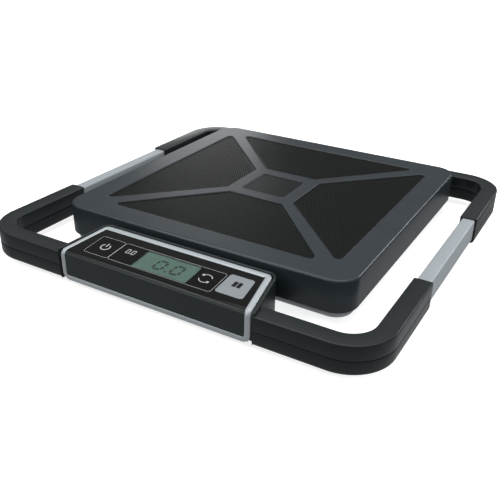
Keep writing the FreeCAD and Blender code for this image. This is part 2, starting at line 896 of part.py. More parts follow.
def bar_screws():
    places = bar_screw_places(True) + bar_screw_places(False)
    tip = bar_center_z - bar_height / 2 + bar_wall + 2 * past
    return Part.makeCompound([screw_up(x, y, bar_screw_seat, tip) for x, y in places])


def handle_bar(side):
    """A rectangular aluminium tube along Y, held at both ends in the mouldings' arms."""
    low = front_arm_end - bar_engagement
    high = rear_arm_end + bar_engagement
    shapes = []
    for inset in (0, bar_wall):
        half_x, half_z = bar_width / 2 - inset, bar_height / 2 - inset
        radius = bar_inner_radius if inset else bar_corner_radius
        face = rounded_face(rectangle(-half_x, half_x, -half_z, half_z), radius)
        face.rotate(Vector(0, 0, 0), Vector(1, 0, 0), 90)
        face.translate(Vector(side * arm_center_x, high + inset, bar_center_z))
        shapes.append(face.extrude(Vector(0, low - high - 2 * inset, 0)))
    tube = shapes[0].cut(shapes[1])
    x = side * arm_center_x
    top = bar_center_z - bar_height / 2 + bar_wall + past
    places = [bar_screw_places(front)[0] for front in (True, False)]
    return tube.cut([rod(x, y, hoop_bottom, top, screw_radius) for _, y in places])


def cradle_half(y, outset):
    """Half the display module's width at a depth, plus an outset."""
    return display_back_half + side_slope * (display_back - y) + outset


def module_outline(outset, front, back):
    """The module's plan, wider at the front, grown sideways by the outset between two depths."""
    front_half, back_half = cradle_half(front, outset), cradle_half(back, outset)
    return [(-front_half, front), (front_half, front), (back_half, back), (-back_half, back)]


def panel_height(y):
    return panel_back_height + tilt_rise * (y - display_back)


def under_panel(drop, front, back, bottom):
    """A prism from wall to wall whose top follows the sloping panel, lowered by drop."""
    reach = display_front_half + 3 * far_past
    high_back, high_front = panel_height(back) - drop, panel_height(front) - drop
    points = [(front, bottom), (back, bottom), (back, high_back), (front, high_front)]
    face = Part.Face(Part.makePolygon([Vector(-reach, y, z) for y, z in points + points[:1]]))
    return face.extrude(Vector(2 * reach, 0, 0))


def cradle_walls():
    """Cheeks and back wall around the docked module, their rims following its sloping top."""
    back = display_back + cheek_outset
    radius = back_corner_radius + cheek_outset
    outline = module_outline(cheek_outset, hoop_front, back)
    outer = slab(outline, [0, 0, radius, radius], tray_top, above_all)
    radius = back_corner_radius + dock_gap
    outline = module_outline(dock_gap, hoop_front - far_past, display_back + dock_gap)
    inner = slab(outline, [0, 0, radius, radius], tray_top - past, above_all + past)
    walls = outer.cut(inner).common(under_panel(cheek_drop, hoop_front - past, back + past, tray_top))
    strips = []
    for side in (-1, 1):
        inside = side * cradle_half(hoop_front, dock_gap)
        outside = side * cradle_half(hoop_front, cheek_outset)
        low, high = sorted((inside, outside))
        strip = block(low, high, hoop_front, hoop_front + lip_depth, hoop_bottom, tray_top + past)
        strips.append(strip)
    return walls.fuse(strips)


def front_frame_upper():
    """The front moulding's upper half with the cradle's walls, open where the display module docks."""
    outline = module_outline(dock_gap, hoop_front - far_past, display_back + dock_gap)
    pocket = slab(outline, 0, hoop_bottom - past, above_all)
    arms = u_moulding(True, True).cut(pocket)
    return joined([arms, cradle_walls()])


def front_frame_lower():
    """The front moulding's lower half with the tray under the display module and the tongue into the base."""
    back = display_back + cheek_outset
    radius = back_corner_radius + cheek_outset
    tray_front = hoop_front + lip_depth + tray_gap
    tray_outline = module_outline(cheek_outset, tray_front, back)
    tray = slab(tray_outline, [0, 0, radius, radius], hoop_bottom, tray_top)
    outline = module_outline(cheek_outset + frame_gap, hoop_front - far_past, back + frame_gap)
    pocket = slab(outline, 0, tray_top, above_all)
    half = cradle_half(hoop_front, cheek_outset) + frame_gap
    lip = block(-half, half, hoop_front - far_past, tray_front, hoop_bottom - past, above_all)
    arms = u_moulding(True, False).cut([pocket, lip])
    high = tray_top + far_past
    holes = [screw_hole(x, -tongue_screw_y, hoop_bottom, high) for x in tongue_screw_across]
    return joined([arms, tray, tongue(-1, -back)]).cut(holes)


def tongue(side, start):
    """A flat tongue that steps up over the pan's floor, from outside the base to its tip inside it."""
    top = pan_floor + tongue_thickness
    tip = pan_half - tongue_depth
    step = pan_half + tongue_step_gap
    pieces = []
    for inner, bottom in ((tip, pan_floor), (step, hoop_bottom)):
        low, high = sorted((side * inner, side * start))
        pieces.append(block(-tongue_half, tongue_half, low, high, bottom, top))
    return pieces[0].fuse(pieces[1])


def rear_frame_lower():
    tail = tongue(1, hoop_rear - hoop_band + tongue_step_gap)
    high = tray_top + far_past
    holes = [screw_hole(x, tongue_screw_y, hoop_bottom, high) for x in tongue_screw_across]
    return joined([u_moulding(False, False), tail]).cut(holes)


def rear_frame_upper():
    return u_moulding(False, True)


# ---- Display module ----

def module_solid(side_inset, back_inset, face_inset, bottom, front_stop=None):
    """The module's wedge, shrunk by insets: plan sides, back, and the bent skin of its top and front."""
    front = display_front + face_inset
    back = display_back - back_inset
    radius = max(back_corner_radius - min(side_inset, back_inset), 1.0)
    plan = slab(module_outline(-side_inset, front, back), [0, 0, radius, radius], bottom, above_all)
    bend = max(bend_radius - face_inset, 0.6)
    drop = face_inset / math.cos(math.radians(panel_tilt))
    top_front = Vector(0, front, panel_height(front) - drop)
    toward_back = Vector(0, 1, tilt_rise).normalize()
    down = Vector(0, 0, -1)
    half_angle = toward_back.getAngle(down) / 2
    reach = bend / math.tan(half_angle)
    bisector = (toward_back + down).normalize()
    middle = top_front + bisector * (bend / math.sin(half_angle) - bend)
    start = top_front + toward_back * reach
    end = top_front + down * reach
    high = Vector(0, back, panel_height(back) - drop)
    low_back = Vector(0, back, bottom)
    low_front = Vector(0, front, bottom)
    edges = [
        Part.Arc(start, middle, end).toShape(),
        Part.LineSegment(end, low_front).toShape(),
        Part.LineSegment(low_front, low_back).toShape(),
        Part.LineSegment(low_back, high).toShape(),
        Part.LineSegment(high, start).toShape(),
    ]
    face = Part.Face(Part.Wire(edges))
    reach_x = display_front_half + 3 * far_past
    face.translate(Vector(-reach_x, 0, 0))
    return plan.common(face.extrude(Vector(2 * reach_x, 0, 0)))


def window_solid(grow, face_inset):
    """The part of the wedge seen inside the bezel's loop."""
    solid = module_solid(bezel_side - grow, bezel_back - grow, face_inset, display_bottom)
    reach = display_front_half + far_past
    top = display_bottom + bezel_bottom - grow
    return solid.cut(block(-reach, reach, display_front - past, display_back + past, 0, top))


def on_panel(shape):
    """Takes a piece drawn flat, z = 0 at the panel's surface and y = 0 at its back edge, onto the slope."""
    placed = shape.copy()
    placed.rotate(Vector(0, 0, 0), Vector(1, 0, 0), panel_tilt)
    placed.translate(Vector(0, display_back, panel_back_height))
    return placed


def panel_block(across, back, front, low, high, radius, grow=0.0, spread=0.0):
    """A rounded plate in the panel's plane; spread widens its right side towards the front."""
    left, right = across
    outline = [
        (left - grow, -front - grow),
        (right + spread + grow, -front - grow),
        (right + grow, -back + grow),
        (left - grow, -back + grow),
    ]
    return slab(outline, max(radius + grow, 0.3), low, high)


keys = {
    "power_key": (power_key_across, key_back, key_front, key_radius, 0.0),
    "tare_key": (tare_key_across, key_back, key_front, key_radius, 0.0),
    "units_key": (units_key_across, key_back, key_front, key_radius, 0.0),
    "hold_key": (hold_key_across, hold_key_back, hold_key_front, hold_key_radius, hold_key_spread),
}


def key_middle(name):
    across, back, front, _, spread = keys[name]
    return (across[0] + across[1] + spread / 2) / 2, -(back + front) / 2


def key_cap(name):
    """A flat cap flush with the panel, with a flange under its skin and a stem over its switch."""
    across, back, front, radius, spread = keys[name]
    flange_top = panel_underside - key_clearance
    flange_bottom = flange_top - key_flange_thickness
    cap = panel_block(across, back, front, flange_bottom, panel_surface, radius, 0.0, spread)
    flange = panel_block(across, back, front, flange_bottom, flange_top, radius, key_flange / 2, spread)
    x, y = key_middle(name)
    stem = rod(x, y, -key_stem_bottom, flange_bottom + join, key_stem_radius)
    return on_panel(joined([cap, flange, stem]))


def display_bezel():
    """A loop along the top's back and sides, down the front's sides and along the front's foot."""
    outer = module_solid(0, 0, 0, display_bottom)
    inner = module_solid(bezel_thickness, bezel_thickness, bezel_thickness, display_bottom - past)
    return outer.cut([inner, behind_skirt(), window_solid(0, -far_past / 2)])


def behind_skirt():
    """The space under the module's skirt, behind its front lip."""
    return under_panel(bezel_skirt, display_front + lip_depth, display_back + past, display_bottom - past)


def display_panel():
    """The black skin inside the bezel, bent over the front, with openings for the keys and the window."""
    gap = insert_clearance
    under_inset = bezel_thickness + gap
    under = module_solid(under_inset, under_inset, under_inset, display_bottom + past)
    raised = window_solid(-gap, panel_sink)
    skin = under_inset + panel_thickness
    hollow = module_solid(skin, skin, skin, display_bottom - past)
    window_hollow = window_solid(-gap - step_wall, panel_sink + panel_thickness)
    body = under.fuse(raised).removeSplitter()
    shell = body.cut([hollow, window_hollow, behind_skirt()])
    low, high = -board_depth - board_thickness, far_past
    tools = []
    for across, back, front, radius, spread in keys.values():
        tools.append(on_panel(panel_block(across, back, front, low, high, radius, key_clearance, spread)))
    tools.append(on_panel(panel_block(lcd_across, key_back, key_front, low, high, window_radius)))
    shell = shell.cut(tools)
    posts = []
    for x, y in board_post_places:
        posts.append(on_panel(rod(x, y, -board_depth, panel_underside + join, board_post_radius)))
    for x, y in display_screw_places():
        post = rod(x, y, case_floor_top + case_gap, panel_height(y), display_post_radius)
        posts.append(post.common(body))
    shell = shell.fuse(posts).removeSplitter()
    low = case_floor_top - past
    high = case_floor_top + display_screw_length + 2 * past
    return shell.cut([rod(x, y, low, high, screw_radius) for x, y in display_screw_places()])


def display_screw_places():
    front = display_front + lip_depth + case_wall + display_post_from_front
    back = display_back - bezel_thickness - case_wall - display_post_from_back
    places = []
    for side in (-1, 1):
        for y in (front, back):
            places.append((side * (cradle_half(y, 0) - display_post_inset), y))
    return places


def display_case():
    """The module's lower tray, standing on the cradle, its walls tucked inside the bezel's skirt."""
    inset = bezel_thickness + case_gap
    front = display_front + lip_depth + case_front_gap
    top_drop = bezel_skirt + case_gap
    back = display_back - inset
    radius = back_corner_radius - inset
    inner_radius = 1.0
    radii = [inner_radius, inner_radius, radius, radius]
    outer = slab(module_outline(-inset, front, back), radii, tray_top, above_all)
    outline = module_outline(-inset - case_wall, front + case_wall, back - case_wall)
    inner = slab(outline, inner_radius, case_floor_top, above_all + past)
    walls = outer.cut(inner).common(under_panel(top_drop, front - past, back + past, tray_top))
    low, high = tray_top - past, case_floor_top + past
    tools = []
    for x, y in display_screw_places():
        tools.append(screw_hole(x, y, low, high))
        tools.append(rod(x, y, low, display_screw_seat, screw_head_radius + case_gap))
    x, y = dock_place
    depth = dock_half_depth
    tools.append(block(x - dock_half, x + dock_half, y - depth, y + depth, low, high))
    return walls.cut(tools)


def display_screws():
    shapes = []
    for x, y in display_screw_places():
        seat = display_screw_seat
        head = rod(x, y, seat - display_screw_head_height, seat, screw_head_radius)
        shank = rod(x, y, seat, case_floor_top + display_screw_length, screw_radius)
        shapes.append(head.fuse(shank).removeSplitter())
    return Part.makeCompound(shapes)


def dock_plate():
    """The module's contact plate, let into the underside of its case."""
    x, y = dock_place
    half = dock_half - insert_clearance
    depth = dock_half_depth - insert_clearance
    return block(x - half, x + half, y - depth, y + depth, tray_top + tray_gap, case_floor_top)


def lcd_window():
    top = panel_surface - window_sink
    low = top - window_thickness
    return on_panel(panel_block(lcd_across, key_back, key_front, low, top, window_radius, -insert_clearance))


def lcd_glass():
    top = panel_underside - glass_gap
    low = top - glass_thickness
    return on_panel(panel_block(lcd_across, key_back, key_front, low, top, glass_radius, -glass_inset))


def lcd_holder():
    """A frame between the glass and the circuit board, with the contact strip's slot left open."""
    top = panel_underside - glass_gap - glass_thickness
    low = -board_depth
    inset = holder_inset + holder_rim
    outer = panel_block(lcd_across, key_back, key_front, low, top, window_radius, -holder_inset)
    inner = panel_block(lcd_across, key_back, key_front, low - past, top + past, window_radius, -inset)
    return on_panel(outer.cut(inner))


def display_board():
    half = display_back_half - board_side_inset
    back, front = key_back - board_back_reach, key_front + board_front_reach
    low = -board_depth - board_thickness
    board = on_panel(panel_block((-half, half), back, front, low, -board_depth, board_radius))
    radius = display_post_radius + case_front_gap
    return board.cut([rod(x, y, 0, above_all, radius) for x, y in display_screw_places()])


def key_switches():
    """Four push switches on the circuit board, each under its key's stem."""
    top = -key_stem_bottom - key_travel - switch_gap
    half = switch_side / 2
    shapes = []
    for name in keys:
        x, y = key_middle(name)
        middle = -board_depth + switch_height
        body = block(x - half, x + half, y - half, y + half, -board_depth, middle)
        button = rod(x, y, middle, top, switch_button_radius)
        shapes.append(on_panel(body.fuse(button).removeSplitter()))
    return Part.makeCompound(shapes)


# ---- Write every piece ----

write("platform_cover", platform_cover())
for name, (turn, tip) in pads.items():
    write(name, tread_pad(turn, tip))
write("centre_badge", centre_badge())
write("platform_stiffener", platform_stiffener())
write("cover_screws", cover_screws())
write("retaining_screws", retaining_screws())
write("load_buffers", load_buffers())

write("base_pan", base_pan())
corner_names = ["front_left", "back_left", "front_right", "back_right"]
for name, (x, y) in zip(corner_names, corners(cell_place)):
    write("foot_" + name, foot(x, y))
    write("cell_holder_" + name, cell_holder(x, y))
    write("load_cell_" + name, load_cell(x, y))
write("cell_screws", cell_screws())
write("tongue_screws_front", tongue_screws(-1))
write("tongue_screws_rear", tongue_screws(1))
write("battery_door", battery_door())
for index, name in enumerate(["battery_left", "battery_middle", "battery_right"]):
    write(name, battery(index))
write("battery_contacts", battery_contacts())
write("main_board", main_board())
write("board_chips", board_chips())
write("usb_socket", port_body(usb_y, usb_size, usb_hole))
write("power_jack", port_body(power_jack_y, power_jack_size, power_jack_hole))
write("cell_leads", cell_leads())

write("front_frame_upper", front_frame_upper())
write("front_frame_lower", front_frame_lower())
write("rear_frame_upper", rear_frame_upper())
write("rear_frame_lower", rear_frame_lower())
write("handle_bar_left", handle_bar(-1))
write("handle_bar_right", handle_bar(1))
write("frame_screws_front", frame_screws(True))
write("frame_screws_rear", frame_screws(False))
write("bar_screws", bar_screws())

write("display_bezel", display_bezel())
write("display_panel", display_panel())
write("display_case", display_case())
write("display_screws", display_screws())
write("dock_plate", dock_plate())
write("lcd_window", lcd_window())
write("lcd_glass", lcd_glass())
write("lcd_holder", lcd_holder())
write("display_board", display_board())
write("key_switches", key_switches())
for name in keys:
    write(name, key_cap(name))
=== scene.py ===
import bmesh
import bpy
import json
import math
import numpy as np
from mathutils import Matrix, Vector
from mathutils.geometry import tessellate_polygon


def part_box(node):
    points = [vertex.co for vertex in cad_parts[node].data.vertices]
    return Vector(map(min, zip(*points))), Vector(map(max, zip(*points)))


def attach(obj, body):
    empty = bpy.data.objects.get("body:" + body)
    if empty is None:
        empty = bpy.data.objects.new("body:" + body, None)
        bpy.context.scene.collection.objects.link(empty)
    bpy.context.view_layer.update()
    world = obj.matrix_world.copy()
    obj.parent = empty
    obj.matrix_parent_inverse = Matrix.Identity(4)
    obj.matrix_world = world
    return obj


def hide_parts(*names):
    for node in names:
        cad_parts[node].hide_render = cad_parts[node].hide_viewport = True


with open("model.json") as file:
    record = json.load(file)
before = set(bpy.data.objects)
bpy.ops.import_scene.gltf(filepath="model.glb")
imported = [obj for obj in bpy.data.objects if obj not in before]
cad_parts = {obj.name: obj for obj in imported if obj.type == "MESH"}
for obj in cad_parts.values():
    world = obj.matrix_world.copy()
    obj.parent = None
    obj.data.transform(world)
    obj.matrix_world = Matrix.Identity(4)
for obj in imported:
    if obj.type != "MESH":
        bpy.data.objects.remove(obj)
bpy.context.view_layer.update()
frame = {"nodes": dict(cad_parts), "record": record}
print("frame loaded")

mm = 0.001


# Camera, stage and lights

cameraView = {
    "place": (0.30972, -0.56726, 0.31086),
    "azimuth": 29.961,
    "elevation": 27.477,
    "roll": 1.085,
    "lens": 48.394,
    "sensor": 36.0,
}


def makeCamera(view):
    # Looks back along azimuth and elevation, then turns about its own axis by the roll
    azimuth, elevation, roll = (math.radians(view[key]) for key in ("azimuth", "elevation", "roll"))
    back = Vector((
        math.sin(azimuth) * math.cos(elevation),
        -math.cos(azimuth) * math.cos(elevation),
        math.sin(elevation),
    ))
    right = Vector((math.cos(azimuth), math.sin(azimuth), 0))
    up = back.cross(right)
    turnedRight = right * math.cos(roll) + up * math.sin(roll)
    turnedUp = up * math.cos(roll) - right * math.sin(roll)
    data = bpy.data.cameras.new("camera")
    data.lens = view["lens"]
    data.sensor_width = view["sensor"]
    data.clip_start = 0.01
    data.clip_end = 30
    camera = bpy.data.objects.new("camera", data)
    matrix = camera.matrix_world.copy()
    for row in range(3):
        matrix[row][0], matrix[row][1], matrix[row][2] = turnedRight[row], turnedUp[row], back[row]
        matrix[row][3] = view["place"][row]
    camera.matrix_world = matrix
    bpy.context.scene.collection.objects.link(camera)
    bpy.context.scene.camera = camera


studio = {
    "floorHalf": 6.0,
    "floorShade": 0.6,
    "floorGlow": 0.75,
    "domeTop": 0.33,
    "domeHorizon": 0.09,
    "domeFoot": 0.72,
    "softOnly": ["rightPanel", "leftPanel"],  # lamps with no mirror image, which would glare off the flat top
    "panels": [
        # name, place, aimed at, width, height, watts
        ("topPanel", (0.0, 0.15, 1.7), (0, 0, 0), 1.6, 1.2, 14),
        ("rightPanel", (1.7, -0.1, 0.65), (0, 0, 0.02), 1.2, 0.8, 19),
        ("leftPanel", (-1.7, -0.3, 0.75), (0, 0, 0.02), 1.0, 0.8, 7),
        ("frontPanel", (-0.8, -0.95, 1.35), (0, -0.1, 0.03), 0.8, 0.4, 8),
        ("lowPanel", (-0.85, -1.55, 0.6), (0, -0.2, 0.03), 0.7, 0.3, 6),
        ("backPanel", (0.95, 1.55, 0.85), (0, 0, 0.03), 0.8, 0.4, 9),
        ("cornerPanel", (-1.02, 1.40, 0.42), (-0.12, 0.15, 0.04), 0.42, 0.22, 1.1),
    ],
}


def addNode(tree, kind, **inputs):
    # A shader node of that kind, with the named inputs set
    node = tree.nodes.new("ShaderNode" + kind)
    for name, value in inputs.items():
        node.inputs[name.replace("_", " ")].default_value = value
    return node


def join(tree, source, output, target, socket):
    tree.links.new(source.outputs[output], target.inputs[socket])


def makeStage(settings):
    # A pale floor that only the camera sees, so that its glow doesn't light the sides of the object
    half = settings["floorHalf"]
    mesh = bpy.data.meshes.new("floor")
    corners = [(-half, -half, 0), (half, -half, 0), (half, half, 0), (-half, half, 0)]
    mesh.from_pydata(corners, [], [(0, 1, 2, 3)])
    floor = bpy.data.objects.new("floor", mesh)
    bpy.context.scene.collection.objects.link(floor)
    floor.visible_diffuse = False
    floor.visible_glossy = False
    paper = bpy.data.materials.new("backdropPaper")
    paper.use_nodes = True
    paper.cycles.emission_sampling = "NONE"
    shader = paper.node_tree.nodes["Principled BSDF"]
    shader.inputs["Base Color"].default_value = (settings["floorShade"],) * 3 + (1,)
    shader.inputs["Roughness"].default_value = 0.9
    shader.inputs["Specular IOR Level"].default_value = 0.1
    shader.inputs["Emission Color"].default_value = (1, 1, 1, 1)
    shader.inputs["Emission Strength"].default_value = settings["floorGlow"]
    mesh.materials.append(paper)


def makeLights(settings):
    # A dim dome that brightens upwards and downwards, and large area lamps
    world = bpy.data.worlds.new("studioDome")
    world.use_nodes = True
    tree = world.node_tree
    background = tree.nodes["Background"]
    coordinates = addNode(tree, "TexCoord")
    split = addNode(tree, "SeparateXYZ")
    join(tree, coordinates, "Generated", split, 0)
    brightness = addNode(tree, "ValToRGB")  # from straight down, through the horizon, to straight up
    height = addNode(tree, "MapRange", From_Min=-1)
    join(tree, split, "Z", height, "Value")
    join(tree, height, "Result", brightness, "Fac")
    ramp = brightness.color_ramp
    ramp.interpolation = "EASE"
    for position, level in ((0.0, "domeFoot"), (0.56, "domeHorizon"), (1.0, "domeTop")):
        stop = ramp.elements[0] if position == 0 else ramp.elements.new(position)
        stop.position = position
        stop.color = (settings[level] * 0.97, settings[level] * 0.985, settings[level], 1)
    ramp.elements.remove(ramp.elements[-1])
    join(tree, brightness, "Color", background, "Color")
    backdrop = addNode(tree, "Background", Color=(1, 1, 1, 1))  # plain white past the floor's edge
    seen = addNode(tree, "LightPath")
    choice = addNode(tree, "MixShader")
    join(tree, seen, "Is Camera Ray", choice, "Fac")
    join(tree, background, "Background", choice, 1)
    join(tree, backdrop, "Background", choice, 2)
    join(tree, choice, "Shader", tree.nodes["World Output"], "Surface")
    bpy.context.scene.world = world
    for name, place, target, width, height, watts in settings["panels"]:
        light = bpy.data.lights.new(name, "AREA")
        light.shape = "RECTANGLE"
        light.size = width
        light.size_y = height
        light.energy = watts
        lamp = bpy.data.objects.new(name, light)
        lamp.location = place
        lamp.rotation_euler = (Vector(target) - Vector(place)).to_track_quat("-Z", "Y").to_euler()
        lamp.visible_camera = False
        lamp.visible_glossy = lamp.visible_transmission = name not in settings["softOnly"]
        bpy.context.scene.collection.objects.link(lamp)


makeCamera(cameraView)
makeStage(studio)
makeLights(studio)
bpy.context.scene.view_settings.view_transform = "Standard"
print("camera, floor and lights ready")


# Finishes. Every pattern reads Object coordinates, in metres, so it stays put on the piece.

def finish(name, colour, roughness, metallic=0.0, drift=0.08, driftScale=30.0, roughDrift=0.05,
           grain=1800.0, grainDepth=0.02, stretch=(1, 1, 1), **sockets):
    # A surface with slow colour and gloss changes, and a fine moulded or brushed grain as bump
    material = bpy.data.materials.new(name)
    material.use_nodes = True
    tree = material.node_tree
    shader = tree.nodes["Principled BSDF"]
    shader.inputs["Metallic"].default_value = metallic
    for socket, value in sockets.items():
        shader.inputs[socket.replace("_", " ")].default_value = value
    coordinates = addNode(tree, "TexCoord")
    mapping = addNode(tree, "Mapping", Scale=stretch)
    join(tree, coordinates, "Object", mapping, "Vector")

    slow = addNode(tree, "TexNoise", Scale=driftScale, Detail=3)
    join(tree, coordinates, "Object", slow, "Vector")
    tint = addNode(tree, "ValToRGB")
    for stop, position, change in zip(tint.color_ramp.elements, (0.3, 0.7), (1 - drift, 1 + drift)):
        stop.position = position
        stop.color = tuple(part * change for part in colour) + (1,)
    join(tree, slow, "Fac", tint, "Fac")
    join(tree, tint, "Color", shader, "Base Color")

    fine = addNode(tree, "TexNoise", Scale=grain, Detail=2)
    join(tree, mapping, "Vector", fine, "Vector")
    gloss = addNode(tree, "MapRange", From_Min=0.25, From_Max=0.75, To_Min=roughness - roughDrift,
                    To_Max=roughness + roughDrift)
    join(tree, fine, "Fac", gloss, "Value")
    join(tree, gloss, "Result", shader, "Roughness")
    bump = addNode(tree, "Bump", Strength=0.6, Distance=grainDepth * mm)
    join(tree, fine, "Fac", bump, "Height")
    join(tree, bump, "Normal", shader, "Normal")
    return material


panelBand = {
    "roughness": {"From_Min": 33.2 * mm, "From_Max": 35.6 * mm, "To_Min": 0.34, "To_Max": 0.09},
    "stops": (0.12, 0.34),
}


def panelFinish(name, topColour, frontColour):
    # Gloss black on the sloping top, going over to satin charcoal down the bend and the front
    material = finish(name, topColour, 0.1, drift=0.05, roughDrift=0.02, grain=900, grainDepth=0.002,
                      Specular_IOR_Level=0.13)
    tree = material.node_tree
    shader = tree.nodes["Principled BSDF"]
    coordinates = addNode(tree, "TexCoord")
    split = addNode(tree, "SeparateXYZ")
    band = addNode(tree, "MapRange", **panelBand["roughness"])
    join(tree, coordinates, "Object", split, 0)
    join(tree, split, "Z", band, "Value")
    join(tree, band, "Result", shader, "Roughness")
    colour = addNode(tree, "ValToRGB")
    shades = (topColour, frontColour)
    for stop, position, shade in zip(colour.color_ramp.elements, panelBand["stops"], shades):
        stop.position = position
        stop.color = shade + (1,)
    join(tree, band, "Result", colour, "Fac")
    join(tree, colour, "Color", shader, "Base Color")
    return material


silverLook = {"drift": 0.02, "roughDrift": 0.03, "grain": 3500, "grainDepth": 0.004,
              "Specular_IOR_Level": 0.4}
finishes = {
    "cover_plastic": finish("slatePlastic", (0.0150, 0.0208, 0.0255), 0.31, grain=2600, grainDepth=0.02,
                            Specular_IOR_Level=0.36),
    "tread_rubber": finish("treadRubber", (0.0042, 0.0050, 0.0050), 0.36, grain=3000, grainDepth=0.015,
                           Specular_IOR_Level=0.11),
    "badge_plastic": finish("badgePlastic", (0.0045, 0.0055, 0.006), 0.32, roughDrift=0.02, grain=1500,
                            grainDepth=0.003, Specular_IOR_Level=0.12),
    "inner_plastic": finish("innerPlastic", (0.03, 0.03, 0.032), 0.55, grain=1500, grainDepth=0.03),
    "screw_steel": finish("screwSteel", (0.55, 0.55, 0.56), 0.32, 1.0, grain=2500, grainDepth=0.01),
    "foot_rubber": finish("footRubber", (0.022, 0.022, 0.023), 0.65, grain=1500, grainDepth=0.04),
    "base_plastic": finish("basePlastic", (0.36, 0.385, 0.40), 0.45, drift=0.04, grain=2200, grainDepth=0.03),
    "cell_steel": finish("cellSteel", (0.55, 0.56, 0.57), 0.3, 1.0, grain=400, stretch=(1, 12, 1)),
    "battery_sleeve": finish("batterySleeve", (0.05, 0.09, 0.16), 0.2, grain=300, grainDepth=0.005),
    "contact_metal": finish("contactMetal", (0.75, 0.58, 0.26), 0.25, 1.0, grain=2000, grainDepth=0.01),
    "board_laminate": finish("boardLaminate", (0.015, 0.11, 0.045), 0.3, grain=1200, grainDepth=0.01),
    "socket_metal": finish("socketMetal", (0.65, 0.65, 0.67), 0.22, 1.0, grain=1600, grainDepth=0.01),
    "socket_plastic": finish("socketPlastic", (0.012, 0.012, 0.012), 0.4, grain=2000, grainDepth=0.02),
    "lead_sleeve": finish("leadSleeve", (0.32, 0.02, 0.015), 0.4, grain=1500, grainDepth=0.01),
    "frame_plastic": finish("framePlastic", (0.0080, 0.0112, 0.0122), 0.31, grain=2600, grainDepth=0.012,
                            Specular_IOR_Level=0.28),
    "bar_aluminium": finish("barAluminium", (0.275, 0.305, 0.325), 0.5, 0.2, drift=0.03, roughDrift=0.05,
                            grain=2400, grainDepth=0.006, stretch=(1, 0.02, 1)),
    "bezel_silver": finish("bezelSilver", (0.33, 0.36, 0.38), 0.44, 0.35, **silverLook),
    "panel_black": panelFinish("panelBlack", (0.0008, 0.0009, 0.001), (0.0225, 0.0275, 0.029)),
    "key_black": finish("keyBlack", (0.0008, 0.0008, 0.001), 0.12, roughDrift=0.02, grain=900,
                        grainDepth=0.002, Specular_IOR_Level=0.1),
    "window_clear": finish("windowClear", (0.95, 0.97, 0.96), 0.04, drift=0.01, roughDrift=0.01, grain=500,
                           grainDepth=0.001, Transmission_Weight=1.0, IOR=1.2, Specular_IOR_Level=0.1),
    "lcd_face": finish("lcdFace", (0.078, 0.142, 0.115), 0.5, drift=0.03, driftScale=60, grain=1500,
                       grainDepth=0.003, Specular_IOR_Level=0.1),
}
inkLook = {"drift": 0.03, "grain": 2000, "grainDepth": 0.004}
inkPale = finish("inkPale", (0.33, 0.34, 0.35), 0.4, **inkLook)
inkDark = finish("inkDark", (0.004, 0.004, 0.005), 0.4, Specular_IOR_Level=0.1, **inkLook)
inkDigit = finish("inkDigit", (0.009, 0.018, 0.014), 0.5, Specular_IOR_Level=0.05, **inkLook)
# Painted shade: a darker copy of the bezel's silver for the hold key, which shares the bezel's slot, so that
# its flat top reads no brighter than the bezel under these lamps
shadedKeySilver = finish("shadedKeySilver", (0.20, 0.22, 0.235), 0.44, 0.3, **silverLook)

slotOf = {entry["node"]: entry["material_slot"] for entry in frame["record"]["subparts"]}
for node, piece in frame["nodes"].items():
    piece.data.materials.clear()
    piece.data.materials.append(finishes[slotOf[node]])
print("finishes ready:", len(finishes))


# Shapes as grids of points

def cornerFrames(corners, radii):
    # At each corner: the directions to its neighbours, half the angle between them, and its arc's centre,
    # which lies radius / sin(half angle) along the bisector
    before = np.roll(corners, 1, axis=0) - corners
    after = np.roll(corners, -1, axis=0) - corners
    before = before / np.linalg.norm(before, axis=1)[:, None]
    after = after / np.linalg.norm(after, axis=1)[:, None]
    halfAngle = np.arccos(np.clip((before * after).sum(1), -1, 1)) / 2
    bisector = before + after
    bisector = bisector / np.linalg.norm(bisector, axis=1)[:, None]
    centres = corners + bisector * (radii / np.sin(halfAngle))[:, None]
    return before, after, halfAngle, centres


def roundedOutline(corners, radii, arcSteps=8):
    # Straight sides joined by arcs, as points and outward directions; counter-clockwise, hollow corners too
    corners = np.array(corners, float)
    radii = np.broadcast_to(np.array(radii, float), len(corners))
    before, after, halfAngle, centres = cornerFrames(corners, radii)
    hollow = np.sign(after[:, 0] * before[:, 1] - after[:, 1] * before[:, 0])  # +1 at a corner that juts out
    startOut = np.stack([-before[:, 1], before[:, 0]], axis=1)
    startAngle = np.arctan2(startOut[:, 1] * hollow, startOut[:, 0] * hollow)
    turn = hollow * (math.pi - 2 * halfAngle)
    angles = startAngle[:, None] + turn[:, None] * np.linspace(0, 1, arcSteps + 1)
    towards = np.stack([np.cos(angles), np.sin(angles)], axis=2)
    points = centres[:, None] + towards * radii[:, None, None]
    return points.reshape(-1, 2), (towards * hollow[:, None, None]).reshape(-1, 2)


def rectangle(xLow, xHigh, yLow, yHigh):
    # Four corners, counter-clockwise
    return [(xLow, yLow), (xHigh, yLow), (xHigh, yHigh), (xLow, yHigh)]


def squareCorners(half):
    return rectangle(-half, half, -half, half)


def carried(points, outward, profile):
    # Each profile pair (offset, height) gives one row: the outline moved out by the offset, at that height
    profile = np.array(profile, float)
    flat = points[None] + outward[None] * profile[:, 0, None, None]
    heights = np.broadcast_to(profile[:, 1, None, None], flat.shape[:2] + (1,))
    return np.concatenate([flat, heights], axis=2)


def quarter(offset, height, radius, startDegrees, endDegrees, steps=5):
    # An arc of profile pairs about (offset, height), from one angle to another
    angles = np.radians(np.linspace(startDegrees, endDegrees, steps + 1))
    return np.stack([offset + radius * np.cos(angles), height + radius * np.sin(angles)], axis=1)


def surface(rows, closed=False, capFirst=False, capLast=False):
    # A grid whose rows are closed loops; closed joins the last row to the first
    return {"rows": np.asarray(rows, float), "closed": closed, "caps": (capFirst, capLast)}


